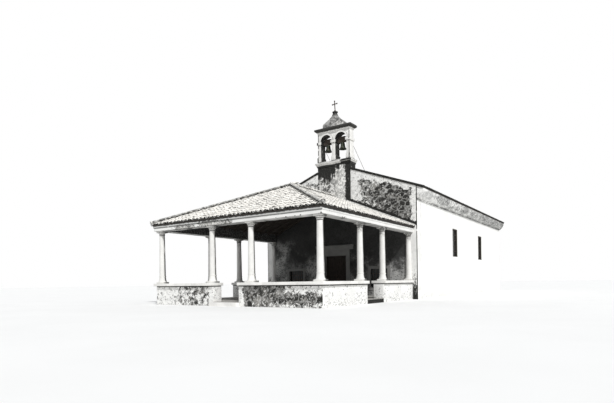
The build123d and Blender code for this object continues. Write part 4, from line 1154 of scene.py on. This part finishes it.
# Walls
def front_plaster(place):
    """How much plaster is left on the gable: under the rakes, beside the pier and at the corners."""
    across = abs(place.x)
    rake = NAVE.ridge - NAVE.slope * across - NAVE.slab - place.z
    ragged = (wobble(place, 1.7) + wobble(place, 4.5) * 0.6 - 0.8) * 0.35
    ends = ramp(abs(place.z - 4.25), 0.2, 0.7) * 0.16
    corner = ramp(HALF - across, 0.3 + ends + ragged, 0.12 + ends + ragged)
    near_pier = ramp(across, 2.0, 1.0) * 0.22
    under_rake = ramp(rake, 0.26 + near_pier + ragged, 0.12 + near_pier + ragged)
    beside_pier = ramp(place.x, 1.75 + ragged, 1.05 + ragged) * ramp(place.x, 0, 0.1)
    centre = ramp(place.x, 2.9, 1.6) * 0.34
    return max(corner, under_rake, beside_pier, centre)


class CHAPEL_OT_gable(bpy.types.Operator):
    """Lays the rubble stones and the ragged plaster of the gable above the porch roof"""

    bl_idname = "chapel.gable"
    bl_label = "Gable stones"

    def execute(self, context):
        masonry = context.scene.chapel_masonry
        foot, soffit = PORCH.eaves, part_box("front_gable")[1].z
        deselect()
        bpy.ops.mesh.primitive_grid_add(
            x_subdivisions=int(2 * HALF / masonry.grain),
            y_subdivisions=int((soffit - foot) / masonry.grain),
            size=1,
            location=(0, FRONT - 0.001, (foot + soffit) / 2),
            rotation=(math.pi / 2, 0, 0),
        )
        skin = fresh("gable_stones")
        skin.scale = (2 * HALF, soffit - foot, 1)
        settle(skin)
        hidden = PORCH.ridge - PORCH.slab
        for side in (1, -1):
            cut(skin, (0, 0, soffit), (side * NAVE.slope, 0, 1), away=True)
            cut(skin, (side * PIER.x, 0, 0), (1, 0, 0))
            cut(skin, (0, 0, hidden), (side * PORCH.slope, 0, 1))
        drop(skin, lambda place: abs(place.x) < PIER.x or place.z < hidden - PORCH.slope * abs(place.x))
        relief = []
        for place, stone, cover in lay_stones(skin, front_plaster):
            edge = ramp(abs(place.x), PIER.x, PIER.x + 0.08) * ramp(HALF - abs(place.x), 0.0, 0.06)
            relief.append(edge * (stone * (1 - cover * 0.75) + cover * 0.45))
        press(skin, relief, masonry.relief)
        edit(skin)
        bpy.ops.mesh.extrude_region_move(TRANSFORM_OT_translate={"value": (0, 0.03, 0)})
        bpy.ops.transform.resize(value=(1, 0, 1), center_override=(0, FRONT + 0.03, 0))
        bpy.ops.mesh.dissolve_limited(angle_limit=math.radians(1))
        leave()
        finish_piece(outward(skin), "rubble", rubble, smooth=50)
        return {"FINISHED"}


class CHAPEL_OT_walls(bpy.types.Operator):
    """Plasters the walls and the cove under the eaves, uneven as on rubble"""

    bl_idname = "chapel.walls"
    bl_label = "Plastered walls"

    def execute(self, context):
        for node, steps, coats, slot in (
            ("front_wall_right", (0.12, 0, 0.12), porch_plaster, "rubble"),
            ("front_wall_left", (0.12, 0, 0.12), porch_plaster, "rubble"),
            ("front_wall_over_door", (0.12, 0, 0.12), porch_plaster, "rubble"),
            ("right_wall", (0, 0.25, 0.25), limewash, "limewash"),
            ("left_wall", (0, 0.25, 0.25), limewash, "limewash"),
            ("rear_wall", (0.25, 0, 0.25), limewash, "limewash"),
            ("eaves_cornices", (0, 0.15, 0), cornice_plaster, "limewash"),
        ):
            wall = node_copy(node, node + "_plaster", 0.012, steps)
            lump(wall, 0.5, 0.014)
            lump(wall, 0.14, 0.006)
            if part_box(node)[0].z < FLOOR:
                grounded(wall)
            finish_piece(wall, slot, coats, node, smooth=35)
        return {"FINISHED"}


# Floors
def paving(node, seed):
    """Staggered rows of slabs, trimmed to a floor's outline, and the bed that they lie in."""
    masonry = bpy.context.scene.chapel_masonry
    long, wide, gap = masonry.flag_length, masonry.flag_width, 0.008
    low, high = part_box(node)
    slab = block("slab", (gap / 2, gap / 2, FLOOR - 0.03), (long - gap / 2, wide - gap / 2, FLOOR))
    modify(slab, "BEVEL", width=0.006, segments=1, limit_method="NONE")
    points = len(slab.data.vertices)
    first = math.floor(low.x / long)
    rows = []
    for row in range(math.floor(low.y / wide), math.ceil(high.y / wide)):
        shift = 0 if row % 2 else -0.5
        rows.append(copy_of(slab, "row", ((first + shift) * long, row * wide, 0)))
    bpy.data.objects.remove(slab)
    slabs = row_of(joined(node + "_slabs", rows), math.ceil(high.x / long) - first + 1, (long, 0, 0))
    by_hand(slabs, points, seed, 0.002, 0.001)
    outline = node_copy(node, "outline")
    outline.scale = (1, 1, 2)
    carve(slabs, settle(outline), "INTERSECT")
    bed = node_copy(node, node + "_bed")
    edit(bed, lambda place: place.z > FLOOR - 0.001)
    bpy.ops.transform.translate(value=(0, 0, -0.012))
    leave()
    return slabs, bed


class CHAPEL_OT_floors(bpy.types.Operator):
    """Lays the paving slabs of the porch and the nave"""

    bl_idname = "chapel.floors"
    bl_label = "Paved floors"

    def execute(self, context):
        for node, seed in (("porch_floor", 51), ("nave_floor", 52)):
            slabs, bed = paving(node, seed)
            finish_piece(slabs, "floor_stone", flagstones)
            finish_piece(bed, "floor_stone", black_edge, node)
        return {"FINISHED"}


# Porch
def low_wall_plaster(place):
    """Where the front parapet keeps its limewash: its ends, its inner side and both sides of the way in."""
    if place.y > ROW + 0.2 or abs(place.x) > PARAPET_OUT - 0.004:
        return 1.0
    ragged = wobble(place, 3.0) * 0.12
    if place.x < GAP_LEFT + 0.1:
        left = ramp(place.x, GAP_LEFT - 0.36 + ragged, GAP_LEFT - 0.24 + ragged)
        return max(left, 0.45 + 0.4 * ramp(place.x, -2.2, -3.0))
    right = ramp(place.x, GAP_RIGHT + 0.2 + ragged, GAP_RIGHT + 0.1 + ragged)
    top = ramp(place.z, 0.3, 0.6) * ramp(place.x, 1.8, 3.0) * 0.75
    foot = ramp(place.z, 0.25, 0.05) * ramp(place.x, 0.8, 2.4) * 0.5
    return max(right, top, foot, 0.05)


def coping_saws():
    """Thin blocks where the coping's stones meet, along its front and along both sides."""
    low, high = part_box("parapet_coping")
    inner = low.y + 2 * (ROW - low.y)
    saws = []
    for axis, count, start, end in ((0, 7, low.x, high.x), (1, 6, inner, high.y)):
        for number in range(1, count):
            middle = start + (end - start) * (number + 0.12 * math.sin(number * 2.3)) / count
            near = Vector((low.x, low.y, low.z)) - Vector((0.1, 0.1, 0.1))
            far = Vector((high.x, inner if axis == 0 else high.y, high.z)) + Vector((0.1, 0.1, 0.1))
            near[axis], far[axis] = middle - 0.002, middle + 0.002
            saws.append(block("saw", near, far))
    return joined("saws", saws)


class CHAPEL_OT_parapets(bpy.types.Operator):
    """Builds the low walls of the porch and their coping of separate stones"""

    bl_idname = "chapel.parapets"
    bl_label = "Parapets and coping"

    def execute(self, context):
        front = node_copy("front_parapet", "parapet_stones", 0.012, (0.05, 0.14, 0.05))
        depths = []
        for place, stone, cover in lay_stones(front, low_wall_plaster):
            edge = ramp(place.z, 0.0, 0.06) * ramp(COPING_BOTTOM - place.z, 0, 0.05)
            depths.append((1 - stone) * (1 - 0.85 * cover) * edge)
        press(front, depths, -context.scene.chapel_masonry.relief)
        finish_piece(front, "rubble", rubble, "front_parapet", smooth=50)
        sides = node_copy("side_parapets", "side_parapet_plaster", 0.015, (0, 0.12, 0.12))
        lump(sides, 0.3, 0.016)
        finish_piece(grounded(sides), "limewash", parapet_lime, "side_parapets", smooth=35)
        coping = node_copy("parapet_coping", "coping_stones")
        carve(coping, coping_saws())
        lump(worn(coping, 0.012), 0.4, 0.004)
        finish_piece(coping, "dressed_stone", coping_stone, "parapet_coping", smooth=35)
        step = node_copy("front_step", "worn_step", 0.02, (0.1, 0.05, 0))
        lump(step, 0.25, 0.008)
        finish_piece(grounded(step), "dressed_stone", coping_stone, "front_step", smooth=35)
        return {"FINISHED"}


def bare_patch(place):
    """Where the front beam has lost its coat."""
    if place.y > ROW:
        return 0.0
    return max(
        1 - 0.5 * math.hypot((place.x - middle) / half, (place.z - level) / rise)
        for middle, half, level, rise in BARE_PATCHES
    )


class CHAPEL_OT_beams(bpy.types.Operator):
    """Coats the beams of the porch with limewash"""

    bl_idname = "chapel.beams"
    bl_label = "Beams"

    def execute(self, context):
        for node, steps in (("front_beam", (0.12, 0, 0.06)), ("side_beams", (0, 0.12, 0.06))):
            beam = node_copy(node, node + "_coat", 0.01, steps)
            mark(beam, "bare", [bare_patch(vertex.co) for vertex in beam.data.vertices])
            lump(beam, 0.3, 0.01)
            finish_piece(beam, "plaster", beam_plaster, node, smooth=35)
        return {"FINISHED"}


class CHAPEL_OT_columns(bpy.types.Operator):
    """Turns the porch columns with their bases and capitals"""

    bl_idname = "chapel.columns"
    bl_label = "Columns"

    def execute(self, context):
        low, foot, ring = COPING_TOP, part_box("column_bases")[1].z, NECK - RING_RISE
        square = block("plinth", (-PLINTH, -PLINTH, low), (PLINTH, PLINTH, low + PLINTH_RISE), 0.008)
        flare = moulding("flare", FLARE, low + PLINTH_RISE, foot - low - PLINTH_RISE)
        shaft = [
            (SHAFT_FOOT + (SHAFT_NECK - SHAFT_FOOT) * share**1.4, foot + share * (ring - foot))
            for share in np.linspace(0, 1, 9)
        ]
        shaft += [(radius, ring + share * RING_RISE) for radius, share in NECK_RING]
        head = moulding("echinus", ECHINUS, NECK, ECHINUS_RISE)
        under = NECK + ECHINUS_RISE
        abacus = block("abacus", (-ABACUS, -ABACUS, under), (ABACUS, ABACUS, BEAM_BOTTOM), 0.006)
        places = [
            ((near.x + far.x) / 2, FRONT if far.y > FRONT - 0.01 else (near.y + far.y) / 2)
            for near, far in parts_of("column_shafts")
        ]
        for form, node in (
            (joined("base", [square, flare]), "column_bases"),
            (turned("shaft", shaft), "column_shafts"),
            (joined("capital", [head, abacus]), "column_capitals"),
        ):
            copies = [copy_of(form, form.name, (x, y, 0)) for x, y in places]
            for copy, (x, y) in zip(copies, places):
                if y > FRONT - 0.01:
                    cut(copy, (0, FRONT, 0), (0, 1, 0), away=True, fill=True)
            bpy.data.objects.remove(form)
            piece = joined(node.replace("column", "turned"), copies)
            finish_piece(piece, "dressed_stone", column_limestone, node, smooth=35)
        return {"FINISHED"}


# Bell cote
class CHAPEL_OT_bell_cote(bpy.types.Operator):
    """Wears the edges of the bell cote's stones and leans its cross"""

    bl_idname = "chapel.bell_cote"
    bl_label = "Bell cote"

    def execute(self, context):
        for part, coats, steps, lumps in (
            ("pier", crusted_limestone, (0.15, 0, 0.15), 0.008),
            ("lower_cornice", lower_cornice_stone, (), 0),
            ("posts", cote_limestone, (), 0),
            ("arches", cote_limestone, (), 0),
            ("upper_cornice", upper_cornice_stone, (), 0),
            ("cap", cap_stone, (), 0.008),
        ):
            piece = node_copy(f"belfry_{part}", f"belfry_{part}_stone", 0.008, steps)
            if lumps:
                lump(piece, 0.3, lumps)
            finish_piece(piece, "dressed_stone", coats, f"belfry_{part}", smooth=30)
        low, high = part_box("belfry_cross")
        socket = Vector((0, (low.y + high.y) / 2, low.z + 0.05))
        cross = node_copy("belfry_cross", "iron_cross", 0.003)
        edit(cross, lambda place: place.z > socket.z)
        lean = context.scene.chapel_fittings.lean
        bpy.ops.transform.rotate(value=lean, orient_axis="Y", center_override=socket)
        leave()
        finish_piece(cross, "iron", old_iron, "belfry_cross")
        return {"FINISHED"}


class CHAPEL_OT_bells(bpy.types.Operator):
    """Casts the bells with their bands and straps them to their headstocks"""

    bl_idname = "chapel.bells"
    bl_label = "Bells"

    def execute(self, context):
        for side in ("left", "right"):
            node = f"bell_{side}"
            low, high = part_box(node)
            middle = (low + high) / 2
            pieces = [node_copy(node, f"cast_{node}")]
            for share, around in BELL_BANDS:
                at, level = (high.x - low.x) / 2 * around, low.z + (high.z - low.z) * share
                profile = [(at - 0.006, level - 0.006), (at + 0.006, level), (at - 0.006, level + 0.006)]
                pieces.append(turned("band", profile, 40, (middle.x, middle.y), caps=False))
            bell = joined(f"cast_bell_{side}", pieces)
            finish_piece(bell, "bronze", bell_bronze, node, body=f"{side}_bell", smooth=35)
            straps = []
            for shift in (-0.09, 0.09):
                near, far = (corner.copy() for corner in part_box(f"headstock_{side}"))
                near.x, far.x = middle.x + shift - 0.015, middle.x + shift + 0.015
                near, far = near - Vector((0, 0.005, 0.002)), far + Vector((0, 0.005, 0.005))
                straps.append(block("strap", near, far, 0.003))
            piece = joined(f"headstock_straps_{side}", straps)
            finish_piece(piece, "iron", old_iron, body=f"{side}_bell")
        return {"FINISHED"}


# Openings
def on_front(name, profile, sides, place):
    """A round form that stands out from an upright face towards the front."""
    piece = turned(name, profile, sides)
    piece.rotation_euler = (math.pi / 2, 0, 0)
    piece.location = place
    return settle(piece)


def ring_pull(name, place, radius):
    """An iron ring hung from a rosette on a door's outer face."""
    deselect()
    bpy.ops.mesh.primitive_torus_add(
        location=place + Vector((0, -0.014, 0.01 - radius)),
        rotation=(math.radians(86), 0, 0),
        major_radius=radius - 0.006,
        minor_radius=0.006,
        major_segments=32,
        minor_segments=10,
    )
    ring = settle(fresh("ring"))
    return joined(name, [ring, on_front("rosette", ROSETTE, 24, place)])


class CHAPEL_OT_door(bpy.types.Operator):
    """Fits the ring pulls, the lock plate and the nails to the door"""

    bl_idname = "chapel.door"
    bl_label = "Door fittings"

    def execute(self, context):
        radius = context.scene.chapel_fittings.ring
        for side, sign in (("left", -1), ("right", 1)):
            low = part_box(f"door_leaf_{side}")[0]
            face, rail = low.y, low.z + MIDDLE_RAIL
            nail = on_front("nail", NAIL, 10, (0, face, low.z))
            nails = [copy_of(nail, "nail", (sign * along, 0, rise)) for along, rise in DOOR_NAILS]
            bpy.data.objects.remove(nail)
            nails = joined(f"door_nails_{side}", nails)
            pull = ring_pull(f"door_ring_{side}", Vector((sign * RING_ALONG, face, rail)), radius)
            for piece in (nails, pull):
                finish_piece(piece, "iron", old_iron, body=f"door_{side}", smooth=40)
        low = Vector((PLATE_NEAR, face - PLATE_THICK, rail - PLATE_FOOT))
        high = Vector((PLATE_FAR, face, rail - PLATE_TOP))
        middle = (low + high) / 2
        plate = block("lock_plate", low, high, 0.0015)
        keyhole = on_front("keyhole", KEYHOLE, 16, (middle.x, low.y, middle.z))
        finish_piece(joined("lock_plate", [plate, keyhole]), "iron", old_iron, body="door_right")
        return {"FINISHED"}


def sash(side, low, high):
    """A timber frame around a side window: a block with its middle cut out."""
    rim = Vector((-0.1, 0.045, 0.045))
    near, far = sorted((side * (HALF - 0.03), side * (HALF - 0.1)))
    low, high = Vector((near, low.y, low.z)), Vector((far, high.y, high.z))
    piece = block("sash", low, high)
    carve(piece, block("hole", low + rim, high - rim))
    return worn(piece, 0.004)


def window_bar(low, high):
    """A square iron bar between two corners."""
    return block("bar", low, high, 0.002)


def between(low, high, count):
    """Levels that part a length into equal shares."""
    return [low + (high - low) * number / count for number in range(1, count)]


class CHAPEL_OT_windows(bpy.types.Operator):
    """Sets the iron bars and the timber sashes in the windows"""

    bl_idname = "chapel.windows"
    bl_label = "Window bars"

    def execute(self, context):
        half = context.scene.chapel_fittings.bar / 2
        low_bars, side_bars, sashes = [], [], []
        for low, high in parts_of("window_glass"):
            if high.x - low.x > high.y - low.y:
                y = FRONT + 0.06
                for x in between(low.x, high.x, 6):
                    low_bars.append(window_bar((x - half, y - half, low.z), (x + half, y + half, high.z)))
                near, far = y - half * 0.6, y + half * 1.4
                for z in between(low.z, high.z, 4):
                    low_bars.append(window_bar((low.x, near, z - half), (high.x, far, z + half)))
            else:
                side = 1 if low.x > 0 else -1
                x, y = side * (HALF - 0.07), (low.y + high.y) / 2
                side_bars.append(window_bar((x - half, y - half, low.z), (x + half, y + half, high.z)))
                for z in between(low.z, high.z, 5):
                    side_bars.append(window_bar((x - half, low.y, z - half), (x + half, high.y, z + half)))
                sashes.append(sash(side, low, high))
        for name, bars in (("low_window_bars", low_bars), ("side_window_bars", side_bars)):
            finish_piece(joined(name, bars), "iron", old_iron)
        finish_piece(joined("side_window_sashes", sashes), "timber", roof_timber)
        return {"FINISHED"}


CARRIED = {
    "limewash": limewash,
    "rubble": rubble,
    "dressed_stone": smoked_limestone,
    "floor_stone": flagstones,
    "plaster": beam_plaster,
    "roof_tile": roof_clay,
    "timber": roof_timber,
    "door_wood": door_planks,
    "iron": old_iron,
    "bronze": bell_bronze,
    "window_glass": old_glass,
}


class CHAPEL_OT_paint(bpy.types.Operator):
    """Gives every construction piece that shows its own finish"""

    bl_idname = "chapel.paint"
    bl_label = "Finishes of the carried pieces"

    def execute(self, context):
        for row in frame["record"]["subparts"]:
            coats = porch_plaster if row["node"] == "front_gable" else CARRIED[row["material_slot"]]
            mesh = frame["nodes"][row["node"]].data
            mesh.materials.clear()
            mesh.materials.append(finish(coats))
        return {"FINISHED"}


# Stage
def pale_floor(recipe):
    """Even, nearly white ground without relief."""
    return blotched(recipe, (0.86, 0.86, 0.85), (0.88, 0.88, 0.87), (0.5, 3), (0.3, 0.7), 0.95, bump=0)


class CHAPEL_OT_stage(bpy.types.Operator):
    """Sets the pale floor, the daylight and the photographer's camera"""

    bl_idname = "chapel.stage"
    bl_label = "Stage"

    def execute(self, context):
        scene = context.scene
        deselect()
        bpy.ops.mesh.primitive_plane_add(size=400, location=(0, 0, 0))
        floor = settle(fresh("floor"))
        floor.data.materials.append(finish(pale_floor))

        scene.world = bpy.data.worlds.new("daylight")
        scene.world.use_nodes = True
        nodes = Nodes(scene.world.node_tree)
        sky = nodes.add("ShaderNodeBackground", 0, (0.95, 0.97, 1.0), 0.5)
        white = nodes.add("ShaderNodeBackground", 0, (1, 1, 1), 1.0)
        kinds = ("Is Camera Ray", "Is Glossy Ray", "Is Transmission Ray")
        direct, glossy, through = (nodes.add("ShaderNodeLightPath", kind) for kind in kinds)
        daylight = nodes.add("ShaderNodeMixShader", 0, direct | glossy | through, sky, white)
        nodes.join(daylight, nodes.tree.nodes["World Output"].inputs["Surface"])

        sun = bpy.data.objects.new("sun", bpy.data.lights.new("sun", "SUN"))
        sun.data.energy = 2.8
        sun.data.angle = math.radians(2.5)
        sun.rotation_euler = SUN_FROM.to_track_quat("Z", "Y").to_euler()
        scene.collection.objects.link(sun)

        camera = bpy.data.objects.new("camera", bpy.data.cameras.new("camera"))
        heading = Matrix.Rotation(HEADING, 4, "Z") @ Matrix.Rotation(math.pi / 2, 4, "X")
        camera.matrix_world = Matrix.Translation(STAND) @ heading @ Matrix.Rotation(ROLL, 4, "Z")
        camera.data.sensor_width = SENSOR
        camera.data.lens = FOCAL_PIXELS / PHOTO_WIDTH * SENSOR
        camera.data.shift_y = SHIFT
        camera.data.clip_end = 500
        scene.collection.objects.link(camera)
        scene.camera = camera
        scene.view_settings.view_transform = "Standard"
        return {"FINISHED"}


OPERATORS = (
    CHAPEL_OT_paint,
    CHAPEL_OT_nave_roof,
    CHAPEL_OT_porch_roof,
    CHAPEL_OT_ridges,
    CHAPEL_OT_gable,
    CHAPEL_OT_walls,
    CHAPEL_OT_floors,
    CHAPEL_OT_parapets,
    CHAPEL_OT_beams,
    CHAPEL_OT_columns,
    CHAPEL_OT_bell_cote,
    CHAPEL_OT_bells,
    CHAPEL_OT_door,
    CHAPEL_OT_windows,
    CHAPEL_OT_stage,
)
GROUPS = {"chapel_roof": ChapelRoof, "chapel_masonry": ChapelMasonry, "chapel_fittings": ChapelFittings}


class CHAPEL_PT_sidebar(bpy.types.Panel):
    """Lists the chapel's sizes and colours, and its pieces in the order in which they are built"""

    bl_idname = "CHAPEL_PT_sidebar"
    bl_label = "Chapel"
    bl_space_type = "VIEW_3D"
    bl_region_type = "UI"
    bl_category = "Chapel"

    def draw(self, context):
        for key, group in GROUPS.items():
            box = self.layout.box()
            for name in group.__annotations__:
                box.prop(getattr(context.scene, key), name)
        for operator in OPERATORS:
            self.layout.operator(operator.bl_idname)


CLASSES = (*GROUPS.values(), *OPERATORS, CHAPEL_PT_sidebar)


def register():
    for item in CLASSES:
        bpy.utils.register_class(item)
    for key, group in GROUPS.items():
        setattr(bpy.types.Scene, key, bpy.props.PointerProperty(type=group))


def unregister():
    for key in GROUPS:
        delattr(bpy.types.Scene, key)
    for item in reversed(CLASSES):
        bpy.utils.unregister_class(item)


def main():
    register()
    for operator in OPERATORS:
        group, name = operator.bl_idname.split(".")
        getattr(getattr(bpy.ops, group), name)()


if __name__ == "__main__":
    main()
